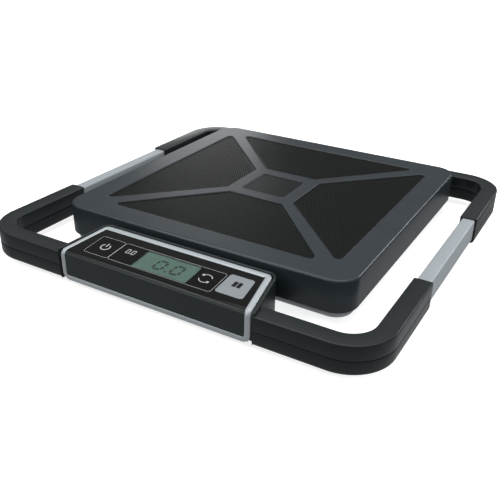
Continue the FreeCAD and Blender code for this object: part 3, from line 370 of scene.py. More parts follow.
def gridFaces(rowCount, columnCount, closed, first):
    # Four-sided faces between neighbouring points of a grid, as point numbers counted from first
    rows = np.arange(rowCount if closed else rowCount - 1)[:, None]
    columns = np.arange(columnCount)[None]
    nextRows = (rows + 1) % rowCount
    nextColumns = (columns + 1) % columnCount
    corners = [
        rows * columnCount + columns,
        rows * columnCount + nextColumns,
        nextRows * columnCount + nextColumns,
        nextRows * columnCount + columns,
    ]
    return (np.stack(corners, axis=2).reshape(-1, 4) + first).tolist()


def buildPiece(name, surfaces, material, body, replaced=(), faces=(), smoothDegrees=32.0, place=None):
    # Joins grids of points into one closed mesh in metres, with its faces outwards, and puts it on its body
    vertices = []
    polygons = []
    first = 0
    for part in surfaces:
        rows = part["rows"]
        rowCount, columnCount = rows.shape[:2]
        vertices.append(rows.reshape(-1, 3))
        polygons += gridFaces(rowCount, columnCount, part["closed"], first)
        if part["caps"][0]:
            polygons.append(list(range(first, first + columnCount)))
        if part["caps"][1]:
            lastRow = first + (rowCount - 1) * columnCount
            polygons.append(list(range(lastRow, lastRow + columnCount)))
        first += rowCount * columnCount
    for extraVertices, extraFaces in faces:
        vertices.append(extraVertices)
        polygons += (np.asarray(extraFaces) + first).tolist()
        first += len(extraVertices)
    points = np.concatenate(vertices) * mm
    if place is not None:
        points = place(points)
    mesh = bpy.data.meshes.new(name)
    mesh.from_pydata(points, [], polygons)
    shell = bmesh.new()
    shell.from_mesh(mesh)
    bmesh.ops.remove_doubles(shell, verts=shell.verts, dist=1e-7)
    bmesh.ops.recalc_face_normals(shell, faces=shell.faces)
    shell.to_mesh(mesh)
    shell.free()
    mesh.polygons.foreach_set("use_smooth", np.ones(len(mesh.polygons), bool))
    mesh.set_sharp_from_angle(angle=math.radians(smoothDegrees))
    mesh.materials.append(material)
    piece = bpy.data.objects.new(name, mesh)
    bpy.context.scene.collection.objects.link(piece)
    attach(piece, body)
    if replaced:
        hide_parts(*replaced)
    return piece


# Weighing platform. Its middle is the middle of the badge.

platformCentreY = (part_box("centre_badge")[0].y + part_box("centre_badge")[1].y) / 2
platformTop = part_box("platform_cover")[1].z / mm


def onPlatform(points):
    # From the platform's own middle to its place on the object
    return points + np.array([0, platformCentreY, 0])


treadPads = {
    "outer": 127.7,
    "inner": 38.5,
    "innerTip": 30.0,
    "tips": {"front": (0, 112.0), "right": (90, 121.5), "back": (180, 112.0), "left": (270, 121.5)},
    "tipRadius": 4.0,
    "pocketDepth": 1.8,
    "clearance": 0.15,
    "top": 44.4,
    "rim": 1.3,
    "pipPitch": 2.3,
    "pipHeight": 0.4,
    "pipHalf": 0.72,
    "pipTopHalf": 0.36,
}


def padCorners(tip, grow):
    # The front pad's four corners, moved outwards by grow
    shape = treadPads
    depth = shape["outer"] - shape["inner"]
    slope = math.hypot(depth, tip - shape["innerTip"]) / depth
    wide = tip + grow * slope
    narrow = shape["innerTip"] + grow * slope
    return [
        (-wide, -shape["outer"] - grow),
        (wide, -shape["outer"] - grow),
        (narrow, -shape["inner"] + grow),
        (-narrow, -shape["inner"] + grow),
    ]


def turned(points, degrees):
    # Points turned about the upright axis, counter-clockwise
    angle = math.radians(degrees)
    turning = np.array([[math.cos(angle), math.sin(angle)], [-math.sin(angle), math.cos(angle)]])
    result = np.array(points, float)
    result[..., :2] = result[..., :2] @ turning
    return result


def pipField(tip, base):
    # Small four-sided pips on a staggered lattice, kept where the whole pip lies inside the pad's rim
    shape = treadPads
    pitch = shape["pipPitch"]
    across, along = np.meshgrid(np.arange(-60, 61), np.arange(-90, 91))
    centres = np.stack([across * pitch * 2 + (along % 2) * pitch, along * pitch / 2], axis=2).reshape(-1, 2)
    centres[:, 1] -= (shape["outer"] + shape["inner"]) / 2
    corners = np.array(padCorners(tip, -shape["rim"] - shape["pipHalf"]))
    sides = np.roll(corners, -1, axis=0) - corners
    inward = np.stack([-sides[:, 1], sides[:, 0]], axis=1)
    inward = inward / np.linalg.norm(inward, axis=1)[:, None]
    depth = ((centres[:, None] - corners[None]) * inward[None]).sum(2)
    centres = centres[(depth > 0).all(1)]
    corner = np.array([(-1, 0), (0, -1), (1, 0), (0, 1)], float)
    low = centres[:, None] + corner[None] * shape["pipHalf"]
    high = centres[:, None] + corner[None] * shape["pipTopHalf"]
    lowHeight = np.full(low.shape[:2] + (1,), base - 0.05)
    highHeight = np.full(low.shape[:2] + (1,), base + shape["pipHeight"])
    block = np.concatenate([
        np.concatenate([low, lowHeight], axis=2),
        np.concatenate([high, highHeight], axis=2),
    ], axis=1)
    step = np.arange(4)
    following = (step + 1) % 4
    pattern = np.stack([step, following, following + 4, step + 4], axis=1)
    pattern = np.concatenate([pattern, [[4, 5, 6, 7], [3, 2, 1, 0]]])
    quads = (np.arange(len(centres))[:, None, None] * 8 + pattern[None]).reshape(-1, 4)
    return block.reshape(-1, 3), quads


def makePads():
    # Each pad is one profile carried round its outline, with a field of pips on its sunken face
    shape = treadPads
    base = shape["top"] - shape["pipHeight"]
    bottom = platformTop - shape["pocketDepth"]
    for side, (turn, tip) in shape["tips"].items():
        gap = shape["clearance"]
        points, outward = roundedOutline(padCorners(tip, -gap), shape["tipRadius"] - gap)
        profile = np.concatenate([
            [(-0.5, bottom), (0, bottom)],
            quarter(-0.35, shape["top"] - 0.35, 0.35, 0, 90),
            [(-0.7, shape["top"]), (-1.0, shape["top"] - 0.05), (-1.15, base), (-1.6, base)],
        ])
        body = surface(turned(carried(points, outward, profile), turn), capFirst=True, capLast=True)
        pips, quads = pipField(tip, base)
        buildPiece(
            "treadPad" + side.capitalize(), [body], finishes["tread_rubber"], "platform",
            ["tread_pad_" + side], faces=[(turned(pips, turn), quads)], place=onPlatform,
        )


badge = {"half": 24.5, "radius": 4.0, "top": 44.4, "edge": 0.4, "lip": 1.2, "dish": 0.25}


def makeBadge():
    # A blank square plate with a raised lip around a slightly sunken middle
    half = badge["half"] - treadPads["clearance"]
    points, outward = roundedOutline(squareCorners(half), badge["radius"] - treadPads["clearance"])
    top = badge["top"]
    bottom = platformTop - treadPads["pocketDepth"]
    edge, lip, dish = badge["edge"], badge["lip"], top - badge["dish"]
    profile = np.concatenate([
        [(-0.5, bottom), (0, bottom)],
        quarter(-edge, top - edge, edge, 0, 90),
        [(-lip, top), (-lip - 0.3, dish), (-lip - 0.8, dish)],
    ])
    plate = surface(carried(points, outward, profile), capFirst=True, capLast=True)
    buildPiece("badgePlate", [plate], finishes["badge_plastic"], "platform",
               ["centre_badge"], place=onPlatform)


cover = {
    "half": 152.5,
    "radius": 21.0,
    "edge": 2.3,
    "skirtBottom": 14.5,
    "wall": 2.2,
    "lipEdge": 0.5,
    "ceiling": 42.0,
    "pocketEdge": 0.8,
    "notchY": (33.25, 77.25),
    "notchTop": 28.5,
}


def makeCover():
    # The outer skin is one profile carried round the square; each pocket has a rim; the flat top joins them
    top = platformTop
    edge = cover["edge"]
    bottom = cover["skirtBottom"]
    wall, ceiling, lipEdge = cover["wall"], cover["ceiling"], cover["lipEdge"]
    points, outward = roundedOutline(squareCorners(cover["half"]), cover["radius"], 14)
    profile = np.concatenate([
        [(-edge - 0.8, top)],
        quarter(-edge, top - edge, edge, 90, 0, 8),
        [(0, bottom + 0.9)],
        quarter(-lipEdge, bottom + lipEdge, lipEdge, 0, -90, 3),
        [(-wall + 0.4, bottom), (-wall, bottom + 0.4), (-wall, ceiling - 1), (-wall - 1, ceiling)],
    ])
    surfaces = [surface(carried(points, outward, profile), capLast=True)]
    loops = [surfaces[0]["rows"][0]]
    rim = cover["pocketEdge"]
    floor = top - treadPads["pocketDepth"]
    pockets = [
        (turn, roundedOutline(padCorners(tip, 0), treadPads["tipRadius"]))
        for turn, tip in treadPads["tips"].values()
    ]
    pockets.append((0, roundedOutline(squareCorners(badge["half"]), badge["radius"])))
    for turn, (rimPoints, rimOutward) in pockets:
        pocketProfile = np.concatenate([
            [(rim + 0.5, top)],
            quarter(rim, top - rim, rim, 90, 180, 4),
            [(0, floor), (-0.6, floor)],
        ])
        rows = turned(carried(rimPoints, rimOutward, pocketProfile), turn)
        surfaces.append(surface(rows, capLast=True))
        loops.append(rows[0])
    flat = np.concatenate(loops)
    triangles = tessellate_polygon([[Vector(point) for point in loop] for loop in loops])
    piece = buildPiece("platformCover", surfaces, finishes["cover_plastic"], "platform",
                       ["platform_cover"], faces=[(flat, triangles)], place=onPlatform)
    cutNotch(piece)


def cutNotch(piece):
    # Opens the left skirt in front of the sockets
    low, high = cover["notchY"]
    half = cover["half"]
    points, outward = roundedOutline(rectangle(-half - 3, -half + 6, low, high), 0.01, 2)
    rows = carried(points, outward, [(0, cover["skirtBottom"] - 3), (0, cover["notchTop"])])
    vertices = rows.reshape(-1, 3) * mm
    count = len(points)
    mesh = bpy.data.meshes.new("notchTool")
    ends = [list(range(count))[::-1], list(range(count, 2 * count))]
    mesh.from_pydata(vertices, [], gridFaces(2, count, False, 0) + ends)
    tool = bpy.data.objects.new("notchTool", mesh)
    bpy.context.scene.collection.objects.link(tool)
    cut = piece.modifiers.new("notch", "BOOLEAN")
    cut.operation = "DIFFERENCE"
    cut.solver = "EXACT"
    cut.object = tool
    opened = bpy.data.meshes.new_from_object(piece.evaluated_get(bpy.context.evaluated_depsgraph_get()))
    piece.modifiers.clear()
    piece.data = opened
    bpy.data.objects.remove(tool)


makePads()
makeBadge()
makeCover()
print("platform ready")


# Carrying frame: mouldings swept along the hoop, with the handle bars between them

hoop = {
    "halfWidth": 201.0,
    "front": -214.0,
    "rear": 180.0,
    "band": 17.0,
    "corner": 40.0,
    "bottom": 6.0,
    "top": 33.0,
    "parting": 19.0,
    "groove": 0.45,
    "grooveDepth": 1.0,
    "topEdge": 1.2,
    "bottomEdge": 3.0,
    "crown": 0.25,
    "frontArmEnd": -90.0,
    "rearArmEnd": 56.0,
    "barWidth": 13.0,
    "barHeight": 22.5,
    "barMiddle": 19.9,
    "barCorner": 2.0,
    "barFit": 0.2,
    "socketDepth": 12.0,
    "slotEdge": 0.3,
    "endRounding": [(0.9, 0), (0.3, 0.12), (0, 0.55)],  # distance from the end, how far the section shrinks
}


def halfSection(upper):
    # The moulding's cross-section, upper or lower half: offset across the band, and height
    half = hoop["band"] / 2
    parting = hoop["parting"]
    step = half - hoop["grooveDepth"]
    groove = parting + (hoop["groove"] if upper else -hoop["groove"])
    edge = hoop["topEdge"] if upper else hoop["bottomEdge"]
    end = hoop["top"] - hoop["crown"] if upper else hoop["bottom"]
    middle = hoop["top"] if upper else hoop["bottom"]
    corners = [(step, parting), (step, groove), (half, groove), (half, end), (0, middle), (-half, end),
               (-half, groove), (-step, groove), (-step, parting)]
    radii = [0.02, 0.02, 0.15, edge, 6.0, edge, 0.15, 0.02, 0.02]
    if not upper:
        radii[4] = 0.02
        corners[4] = (0, middle - 0.001)
    points = np.array(corners)
    if not upper:
        points = points[::-1]
    return roundedOutline(points, radii, 5)[0]


def hoopPath(stages, side):
    # Stretches and quarter turns of the hoop's middle line, as points and outward directions
    places = []
    outwards = []
    for kind, *values in stages:
        if kind == "to":
            x, y, outX, outY = values
            places.append([(x, y)])
            outwards.append([(outX, outY)])
        else:
            x, y, radius, startDegrees, endDegrees = values
            angles = np.radians(np.linspace(startDegrees, endDegrees, 25))
            towards = np.stack([np.cos(angles), np.sin(angles)], axis=1)
            places.append(np.array([x, y]) + towards * radius)
            outwards.append(towards)
    scale = np.array([side, 1])
    return np.concatenate(places) * scale, np.concatenate(outwards) * scale


def swept(points, outward, section):
    # One row of the section at each point of the path
    flat = points[:, None] + outward[:, None] * section[None, :, :1]
    heights = np.broadcast_to(section[None, :, 1:], flat.shape[:2] + (1,))
    return np.concatenate([flat, heights], axis=2)


def armEnd(points, outward, section, direction):
    # Rows that round the arm's end, turn into the bar's slot and go back inside it
    middle = np.array([0, (section[:, 1].min() + section[:, 1].max()) / 2])
    slotHalf = np.array([hoop["barWidth"] / 2 + hoop["barFit"], hoop["barHeight"] / 2 + hoop["barFit"]])
    slotMiddle = np.array([0, hoop["barMiddle"]])
    slot = np.clip(section, slotMiddle - slotHalf, slotMiddle + slotHalf)
    spread = section - middle
    spread = spread / np.maximum(np.abs(spread).max(0), 1e-6)
    rings = [(-back, section - spread * shrink) for back, shrink in hoop["endRounding"]]
    rings += [(0, slot), (-hoop["slotEdge"], slot), (-hoop["socketDepth"], slot)]
    rows = []
    for along, shape in rings:
        place = points + np.array([0, direction * along])
        rows.append(swept(place[None], outward[None], shape)[0])
    return np.array(rows)


def makeFrontMouldings():
    # Each half is a section swept from the cradle round the corner to the bar, on both sides
    half = hoop["halfWidth"] - hoop["band"] / 2
    middleY = hoop["front"] + hoop["band"] / 2
    turnRadius = hoop["corner"] - hoop["band"] / 2
    inside = cradle["frontHalf"] + cradle["gap"] + cradle["wall"] / 2
    for upper in (True, False):
        surfaces = []
        for side in (-1, 1):
            path, outward = hoopPath([
                ("to", inside, middleY, 0, -1),
                ("turn", half - turnRadius, middleY + turnRadius, turnRadius, -90, 0),
            ], side)
            section = halfSection(upper)
            end = np.array([side * half, hoop["frontArmEnd"]])
            socket = armEnd(end, np.array([side, 0]), section, 1)
            rows = np.concatenate([swept(path, outward, section), socket])
            surfaces.append(surface(rows, capFirst=True, capLast=True))
        if upper:
            surfaces += cradleWalls()
        else:
            surfaces += [cradleTray(), tongue(frontTongue)]
        level = "upper" if upper else "lower"
        buildPiece("frontMoulding" + level.capitalize(), surfaces, finishes["frame_plastic"], "root",
                   ["front_frame_" + level], place=onPlatform)


def makeRearMouldings():
    # Each half is one section swept from bar to bar round both corners
    half = hoop["halfWidth"] - hoop["band"] / 2
    middleY = hoop["rear"] - hoop["band"] / 2
    turnRadius = hoop["corner"] - hoop["band"] / 2
    for upper in (True, False):
        section = halfSection(upper)
        path, outward = hoopPath([
            ("turn", half - turnRadius, middleY - turnRadius, turnRadius, 0, 90),
            ("turn", -half + turnRadius, middleY - turnRadius, turnRadius, 90, 180),
        ], 1)
        rightEnd = armEnd(np.array([half, hoop["rearArmEnd"]]), np.array([1, 0]), section, -1)
        leftEnd = armEnd(np.array([-half, hoop["rearArmEnd"]]), np.array([-1, 0]), section, -1)
        rows = np.concatenate([rightEnd[::-1], swept(path, outward, section), leftEnd])
        surfaces = [surface(rows, capFirst=True, capLast=True)]
        if not upper:
            surfaces.append(tongue(rearTongue))
        level = "upper" if upper else "lower"
        buildPiece("rearMoulding" + level.capitalize(), surfaces, finishes["frame_plastic"], "root",
                   ["rear_frame_" + level], place=onPlatform)


def makeBars():
    # A rounded rectangle carried along Y, as long as the bar it stands for
    halfX, halfZ = hoop["barWidth"] / 2, hoop["barHeight"] / 2
    outline, _ = roundedOutline(rectangle(-halfX, halfX, -halfZ, halfZ), hoop["barCorner"], 6)
    for side, name in ((-1, "left"), (1, "right")):
        low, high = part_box("handle_bar_" + name)
        rows = []
        for y in (low.y, low.y + 1 * mm, high.y - 1 * mm, high.y):
            x = (low.x + high.x) / 2 / mm + outline[:, 0]
            z = (low.z + high.z) / 2 / mm + outline[:, 1]
            rows.append(np.stack([x, np.full(len(x), y / mm), z], axis=1))
        buildPiece("handleBar" + name.capitalize(), [surface(rows, capFirst=True, capLast=True)],
                   finishes["bar_aluminium"], "root", ["handle_bar_" + name])


# Display cradle: cheeks and back wall that follow the module's sloping top, over a tray

cradle = {
    "backHalf": 88.0,
    "frontHalf": 97.3,
    "back": -161.0,
    "front": -214.0,
    "backRadius": 6.0,
    "backHeight": 40.4,
    "tilt": 5.0,
    "drop": 0.5,
    "gap": 1.4,
    "wall": 2.2,
    "edge": 0.7,
    "endRounding": [(0.0, 0.6), (0.12, 0.28), (0.35, 0.08), (0.7, 0.0)],
    "trayBottom": 6.0,
    "trayTop": 9.0,
    "lip": 4.6,
}
rearTongue = {"outside": 164.5, "step": 150.0, "tip": 116.5}
frontTongue = {"outside": -157.6, "step": -150.0, "tip": -116.5}
tongueShape = {"half": 70.0, "bottoms": (6.0, 9.0), "top": 12.0}


def rimHeight(y):
    # A straight slope: the height at the back plus the tangent of the tilt times the distance
    slope = math.tan(math.radians(cradle["tilt"]))
    return cradle["backHeight"] + slope * (y - cradle["back"]) - cradle["drop"]


def moduleOutline(front, arcSteps=10):
    # The module's plan from its front right corner round the back to its front left one
    corners = [(-cradle["frontHalf"], front), (cradle["frontHalf"], front),
               (cradle["backHalf"], cradle["back"]), (-cradle["backHalf"], cradle["back"])]
    points, outward = roundedOutline(corners, [0, 0, cradle["backRadius"], cradle["backRadius"]], arcSteps)
    first = 2 * (arcSteps + 1) - 1
    order = np.r_[first:len(points), 0]
    return points[order], outward[order]


def cradleWalls():
    # A thin wall round the module; its rim has rounded edges and keeps level with the sloping panel
    points, outward = moduleOutline(cradle["front"])
    inner, outer, edge = cradle["gap"], cradle["gap"] + cradle["wall"], cradle["edge"]
    rim = np.concatenate([
        quarter(outer - edge, -edge, edge, 0, 90, 4),
        quarter(inner + edge, -edge, edge, 90, 180, 4),
    ])
    offsets = np.concatenate([[outer], rim[:, 0], [inner]])
    below = np.concatenate([[0], rim[:, 1], [0]])
    # the two front ends are rounded off: the wall starts thinner and grows within a millimetre
    ends = np.array(cradle["endRounding"])
    steps = np.column_stack([np.zeros(len(ends)), ends[:, 0]])
    points = np.concatenate([points[:1] + steps, points[1:-1], points[-1:] + steps[::-1]])
    outward = np.concatenate([outward[:1]] * len(ends) + [outward[1:-1]] + [outward[-1:]] * len(ends))
    thinning = np.concatenate([ends[:, 1], np.zeros(len(points) - 2 * len(ends)), ends[::-1, 1]])
    middle = (inner + outer) / 2
    offsets = middle + (offsets - middle)[None] * (1 - thinning[:, None])
    flat = points[:, None] + outward[:, None] * offsets[:, :, None]
    heights = rimHeight(flat[:, :, 1]) + below[None] - edge * thinning[:, None]
    heights[:, 0] = cradle["trayTop"]
    heights[:, -1] = cradle["trayBottom"]
    rows = np.concatenate([flat, heights[:, :, None]], axis=2)
    return [surface(rows, capFirst=True, capLast=True)]


def cradleTray():
    # The floor under the module, one profile carried round its plan
    points, outward = moduleOutline(cradle["front"] + cradle["lip"])
    offset = cradle["gap"] + cradle["wall"] - 0.1
    bottom, top = cradle["trayBottom"], cradle["trayTop"]
    profile = [(offset - 1, bottom), (offset, bottom + 0.5), (offset, top)]
    return surface(carried(points, outward, profile), capFirst=True, capLast=True)


def tongue(shape):
    # A flat tongue that steps up from the frame over the base's floor
    half, top = tongueShape["half"], tongueShape["top"]
    low, high = tongueShape["bottoms"]
    outside, step, tip = shape["outside"], shape["step"], shape["tip"]
    section = np.array([(outside, low), (outside, top), (tip, top), (tip, high), (step, high), (step, low)])
    rows = [np.column_stack([np.full(len(section), x), section]) for x in (-half, half)]
    return surface(rows, capFirst=True, capLast=True)


makeFrontMouldings()
makeRearMouldings()
makeBars()
print("carrying frame ready")


# Display module. Flat pieces are laid out with their origin at the panel's back edge, then tilted into place.

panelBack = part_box("display_bezel")[1]
tilt = math.radians(cradle["tilt"])


def onPanel(points):
    # Flat points turned by the tilt about the panel's back edge
    y = points[:, 1] * math.cos(tilt) - points[:, 2] * math.sin(tilt) + panelBack.y
    z = points[:, 1] * math.sin(tilt) + points[:, 2] * math.cos(tilt) + panelBack.z
    return np.column_stack([points[:, 0], y, z])


bezel = {
    "backWidth": 6.6,
    "sideWidth": 5.0,
    "footWidth": 5.2,
    "beadHeight": 1.6,
    "beadSpread": 0.58,
    "bend": 6.0,
    "footCorner": 8.0,
    "bottom": 6.0,
    "front": -214.5,
    "inside": [(0, -6.0), (1.2, -6.0), (1.4, -2.6)],  # the skirt below the bead: inwards, and height
}


def bezelPath():
    # The module's outer edge: a closed line in space with rounded corners, and its visible face's direction
    slope = math.tan(tilt)
    frontHeight = cradle["backHeight"] + slope * (bezel["front"] - cradle["back"])
    corners = np.array([
        (cradle["backHalf"], cradle["back"], cradle["backHeight"]),
        (-cradle["backHalf"], cradle["back"], cradle["backHeight"]),
        (-cradle["frontHalf"], bezel["front"], frontHeight),
        (-cradle["frontHalf"], bezel["front"], bezel["bottom"]),
        (cradle["frontHalf"], bezel["front"], bezel["bottom"]),
        (cradle["frontHalf"], bezel["front"], frontHeight),
    ])
    radii = np.array([cradle["backRadius"]] * 2 + [bezel["bend"], bezel["footCorner"], bezel["footCorner"],
                                                   bezel["bend"]])
    upward = np.array([0, -math.sin(tilt), math.cos(tilt)])
    ahead = np.array([0, -1, 0])
    faceStart = np.array([upward, upward, upward, ahead, ahead, ahead])
    faceEnd = np.array([upward, upward, ahead, ahead, ahead, upward])
    side, back, foot = bezel["sideWidth"], bezel["backWidth"], bezel["footWidth"]
    widthStart = np.array([side, back, side, side, foot, side])
    widthEnd = np.array([back, side, side, foot, side, side])
    before, after, halfAngle, centres = cornerFrames(corners, radii)
    share = np.linspace(0, 1, 13)[None, :, None]
    spread = (math.pi - 2 * halfAngle)[:, None, None]
    # the arc's radius turns from its first tangent point to its last, in the plane of the two sides
    first = corners + before * (radii / np.tan(halfAngle))[:, None] - centres
    last = corners + after * (radii / np.tan(halfAngle))[:, None] - centres
    weights = np.sin((1 - share) * spread) / np.sin(spread), np.sin(share * spread) / np.sin(spread)
    points = centres[:, None] + first[:, None] * weights[0] + last[:, None] * weights[1]
    along = (1 - share) * -before[:, None] + share * after[:, None]
    along /= np.linalg.norm(along, axis=2, keepdims=True)
    facing = (1 - share) * faceStart[:, None] + share * faceEnd[:, None]
    facing -= along * (facing * along).sum(2, keepdims=True)
    facing /= np.linalg.norm(facing, axis=2, keepdims=True)
    widths = (1 - share[..., 0]) * widthStart[:, None] + share[..., 0] * widthEnd[:, None]
    return points.reshape(-1, 3), along.reshape(-1, 3), facing.reshape(-1, 3), widths.reshape(-1)


def makeBezel():
    # A half-round bead with a skirt, carried round the module's outer edge
    points, along, facing, widths = bezelPath()
    outward = np.cross(along, facing)
    turn = np.linspace(0, math.pi, 15)
    spread = bezel["beadSpread"]
    bead = spread + spread * np.cos(turn)
    inside = np.array(bezel["inside"])
    inwards = np.concatenate([bead[None] * widths[:, None],
                              np.broadcast_to(inside[:, 0], (len(points), len(inside)))], axis=1)
    lifts = np.concatenate([bezel["beadHeight"] * (np.sin(turn) - 1), inside[:, 1]])
    rows = points[:, None] - outward[:, None] * inwards[:, :, None] + facing[:, None] * lifts[None, :, None]
    buildPiece("displaySurround", [surface(rows, closed=True)], finishes["bezel_silver"], "display",
               ["display_bezel"], place=onPlatform, smoothDegrees=50)


keyShapes = {
    "surface": -0.4,
    "depth": 2.0,
    "edge": 0.22,
    "keys": {
        # name: (left, right, back, front, corner radius, spread to the front, material, slot)
        "power_key": (-76.5, -51.8, 18.1, 44.2, 1.6, 0, "key_black", "powerKey"),
        "tare_key": (-49.5, -26.2, 18.1, 44.2, 1.6, 0, "key_black", "tareKey"),
        "units_key": (31.6, 54.2, 18.1, 44.2, 1.6, 0, "key_black", "unitsKey"),
        "hold_key": (57.0, 80.0, 14.7, 41.7, 2.8, 3.3, "bezel_silver", "holdKey"),
    },
    "lcd": (-25.4, 30.8, 18.1, 44.2),
    "outlineWidth": 0.3,
    "outlineOut": 0.75,
}


def panelRectangle(left, right, back, front, spread=0.0):
    # A rectangle whose front right corner may be moved out by spread
    return [(left, -front), (right + spread, -front), (right, -back), (left, -back)]


def makeKeys():
    # Each key is one profile with a rounded top edge, carried round its outline
    top = keyShapes["surface"]
    edge = keyShapes["edge"]
    for node, (left, right, back, front, radius, spread, slot, name) in keyShapes["keys"].items():
        points, outward = roundedOutline(panelRectangle(left, right, back, front, spread), radius)
        profile = np.concatenate([
            [(-0.4, top - keyShapes["depth"]), (0, top - keyShapes["depth"])],
            quarter(-edge, top - edge, edge, 0, 90, 4),
            [(-edge - 0.5, top)],
        ])
        # the hold key takes the darker copy of the silver, which is painted shade
        buildPiece(name, [surface(carried(points, outward, profile), capFirst=True, capLast=True)],
                   shadedKeySilver if slot == "bezel_silver" else finishes[slot], node, [node], place=onPanel)


def inkPlate(outlinePoints, base, height=0.04):
    # A thin flat plate with the given outline, as one closed surface
    points = np.array(outlinePoints, float)
    rows = [np.column_stack([points, np.full(len(points), base + level)]) for level in (0, height)]
    return surface(rows, capFirst=True, capLast=True)


def inkRing(corners, radii, out, width, base, height=0.04):
    # A closed band that follows a rounded outline
    points, outward = roundedOutline(corners, radii)
    profile = [(out, base), (out + width, base), (out + width, base + height), (out, base + height)]
    return surface(carried(points, outward, profile), closed=True)


def inkArc(centre, radius, width, startDegrees, endDegrees, base, height=0.04):
    # A band along part of a circle
    angles = np.radians(np.linspace(startDegrees, endDegrees, 40))
    towards = np.stack([np.cos(angles), np.sin(angles)], axis=1)
    section = [(radius - width / 2, base), (radius + width / 2, base), (radius + width / 2, base + height),
               (radius - width / 2, base + height)]
    rows = np.stack([
        np.column_stack([np.array(centre) + towards * reach, np.full(len(towards), level)])
        for reach, level in section
    ], axis=1)
    return surface(rows, capFirst=True, capLast=True)


def segmentShapes(size, thickness, shear, lit):
    # The lit bars of a seven-segment figure: a top, b and c right, d bottom, e and f left, g middle
    width, height = size
    half = thickness / 2
    gap = thickness * 0.18
    bars = {
        "a": ((half, height - half), (width - half, height - half)),
        "b": ((width - half, height - half), (width - half, height / 2)),
        "c": ((width - half, height / 2), (width - half, half)),
        "d": ((half, half), (width - half, half)),
        "e": ((half, half), (half, height / 2)),
        "f": ((half, height / 2), (half, height - half)),
        "g": ((half, height / 2), (width - half, height / 2)),
    }
    shapes = []
    for letter in lit:
        start, end = (np.array(point) for point in bars[letter])
        along = (end - start) / np.linalg.norm(end - start)
        side = np.array([-along[1], along[0]]) * half
        start, end = start + along * gap, end - along * gap
        shape = np.array([start, start + along * half + side, end - along * half + side, end,
                          end - along * half - side, start + along * half - side])
        shape[:, 0] += shape[:, 1] * shear
        shapes.append(shape)
    return shapes


marks = {
    "lift": 0.005,
    "powerRing": ((-63.8, -31.2), 4.3, 1.15, 128, 412),  # middle, radius, width, first and last angle
    "powerStem": (0.6, 5.8),
    "stemHalf": 0.6,
    "zero": (3.6, -30.6, -24.0, 1.2, 0.7),  # width, bottom, top, corner radius, line width
    "zeroLefts": (-42.9, -37.1),
    "zeroDot": (0.48, (-38.2, -30.1)),
    "turnArrow": ((41.9, -30.6), 5.6, 0.8, 110),  # middle, radius, width, sweep
    "arrowStarts": (20, 200),
    "arrowHead": (1.7, 2.6),
    "pause": ((69.6, -26.3), 2.15, 1.75, 3.6),  # middle, offset of each bar, half width, half height
}


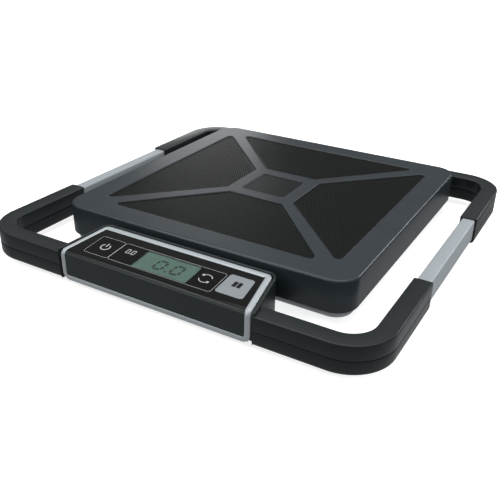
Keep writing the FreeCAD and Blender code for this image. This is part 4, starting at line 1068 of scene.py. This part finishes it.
def makePrint():
    # Fine lines round the power key, and round the tare key, glass and units key as one group
    base = keyShapes["surface"] + marks["lift"]
    out, width = keyShapes["outlineOut"], keyShapes["outlineWidth"]
    left, right, back, front, radius = keyShapes["keys"]["power_key"][:5]
    lines = [inkRing(panelRectangle(left, right, back, front), radius, out, width, base)]
    groupLeft = keyShapes["keys"]["tare_key"][0]
    groupRight = keyShapes["keys"]["units_key"][1]
    lines.append(inkRing(panelRectangle(groupLeft, groupRight, back, front), radius, out, width, base))
    buildPiece("panelLines", lines, inkPale, "display", place=onPanel)

    middle, radius, width, start, end = marks["powerRing"]
    low, high = marks["powerStem"]
    stem = np.array(rectangle(-marks["stemHalf"], marks["stemHalf"], low, high)) + np.array(middle)
    power = [inkArc(middle, radius, width, start, end, base), inkPlate(stem, base)]
    buildPiece("powerMark", power, inkPale, "power_key", place=onPanel)

    width, low, high, radius, line = marks["zero"]
    zeros = [inkRing(rectangle(left, left + width, low, high), radius, -line, line, base)
             for left in marks["zeroLefts"]]
    dotHalf, dotPlace = marks["zeroDot"]
    zeros.append(inkPlate(np.array(squareCorners(dotHalf)) + np.array(dotPlace), base))
    buildPiece("tareMark", zeros, inkPale, "tare_key", place=onPanel)

    middle, radius, width, sweep = marks["turnArrow"]
    headHalf, headLength = marks["arrowHead"]
    arrows = []
    for start in marks["arrowStarts"]:
        arrows.append(inkArc(middle, radius, width, start, start + sweep, base))
        tip = math.radians(start + sweep)
        radial = np.array([math.cos(tip), math.sin(tip)])
        ahead = np.array([-radial[1], radial[0]])
        point = np.array(middle) + radial * radius
        arrows.append(inkPlate([point + radial * headHalf, point + ahead * headLength,
                                point - radial * headHalf], base))
    buildPiece("unitsMark", arrows, inkPale, "units_key", place=onPanel)

    middle, offset, barHalf, barReach = marks["pause"]
    bar = np.array(rectangle(-barHalf, barHalf, -barReach, barReach)) + np.array(middle)
    pause = [inkPlate(bar + np.array([side * offset, 0]), base) for side in (-1, 1)]
    buildPiece("holdMark", pause, inkDark, "hold_key", place=onPanel)


display = {
    "windowThickness": 1.2,
    "windowSink": 0.05,
    "glassTop": -1.75,
    "glassBottom": -4.9,
    "digitSize": (10.6, 14.2),
    "digitThickness": 2.2,
    "digitLean": 0.10,
    "digitStarts": (-9.6, 8.0),
    "digitBase": -38.2,
    "dotHalf": 0.95,
    "dotGap": 2.6,
    "inkHeight": 0.03,
}


def makeGlass():
    # The clear window level with the panel, and close under it the glass with its dark figures
    left, right, back, front = keyShapes["lcd"]
    points, outward = roundedOutline(panelRectangle(left, right, back, front), 1.0)
    top = keyShapes["surface"] - display["windowSink"]
    bottom = top - display["windowThickness"]
    gap = -treadPads["clearance"]
    window = surface(carried(points, outward, [
        (gap - 0.1, bottom), (gap, bottom + 0.1), (gap, top - 0.1), (gap - 0.1, top),
    ]), capFirst=True, capLast=True)
    buildPiece("displayWindow", [window], finishes["window_clear"], "display", ["lcd_window"],
               place=onPanel)
    cell = surface(carried(points, outward, [
        (-0.3, display["glassBottom"]), (-0.3, display["glassTop"]),
    ]), capFirst=True, capLast=True)
    buildPiece("liquidCrystal", [cell], finishes["lcd_face"], "display", ["lcd_glass"],
               place=onPanel)
    figures = []
    base = display["glassTop"] - 0.01
    foot, height, dotHalf = display["digitBase"], display["inkHeight"], display["dotHalf"]
    zero = segmentShapes(display["digitSize"], display["digitThickness"], display["digitLean"], "abcdef")
    for start in display["digitStarts"]:
        figures += [inkPlate(shape + np.array([start, foot]), base, height) for shape in zero]
    dotPlace = np.array([display["digitStarts"][1] - display["dotGap"], foot + dotHalf])
    figures.append(inkPlate(np.array(squareCorners(dotHalf)) + dotPlace, base, height))
    buildPiece("displayFigures", figures, inkDigit, "display", place=onPanel)


makeBezel()
makeKeys()
makePrint()
makeGlass()
print("display module ready")
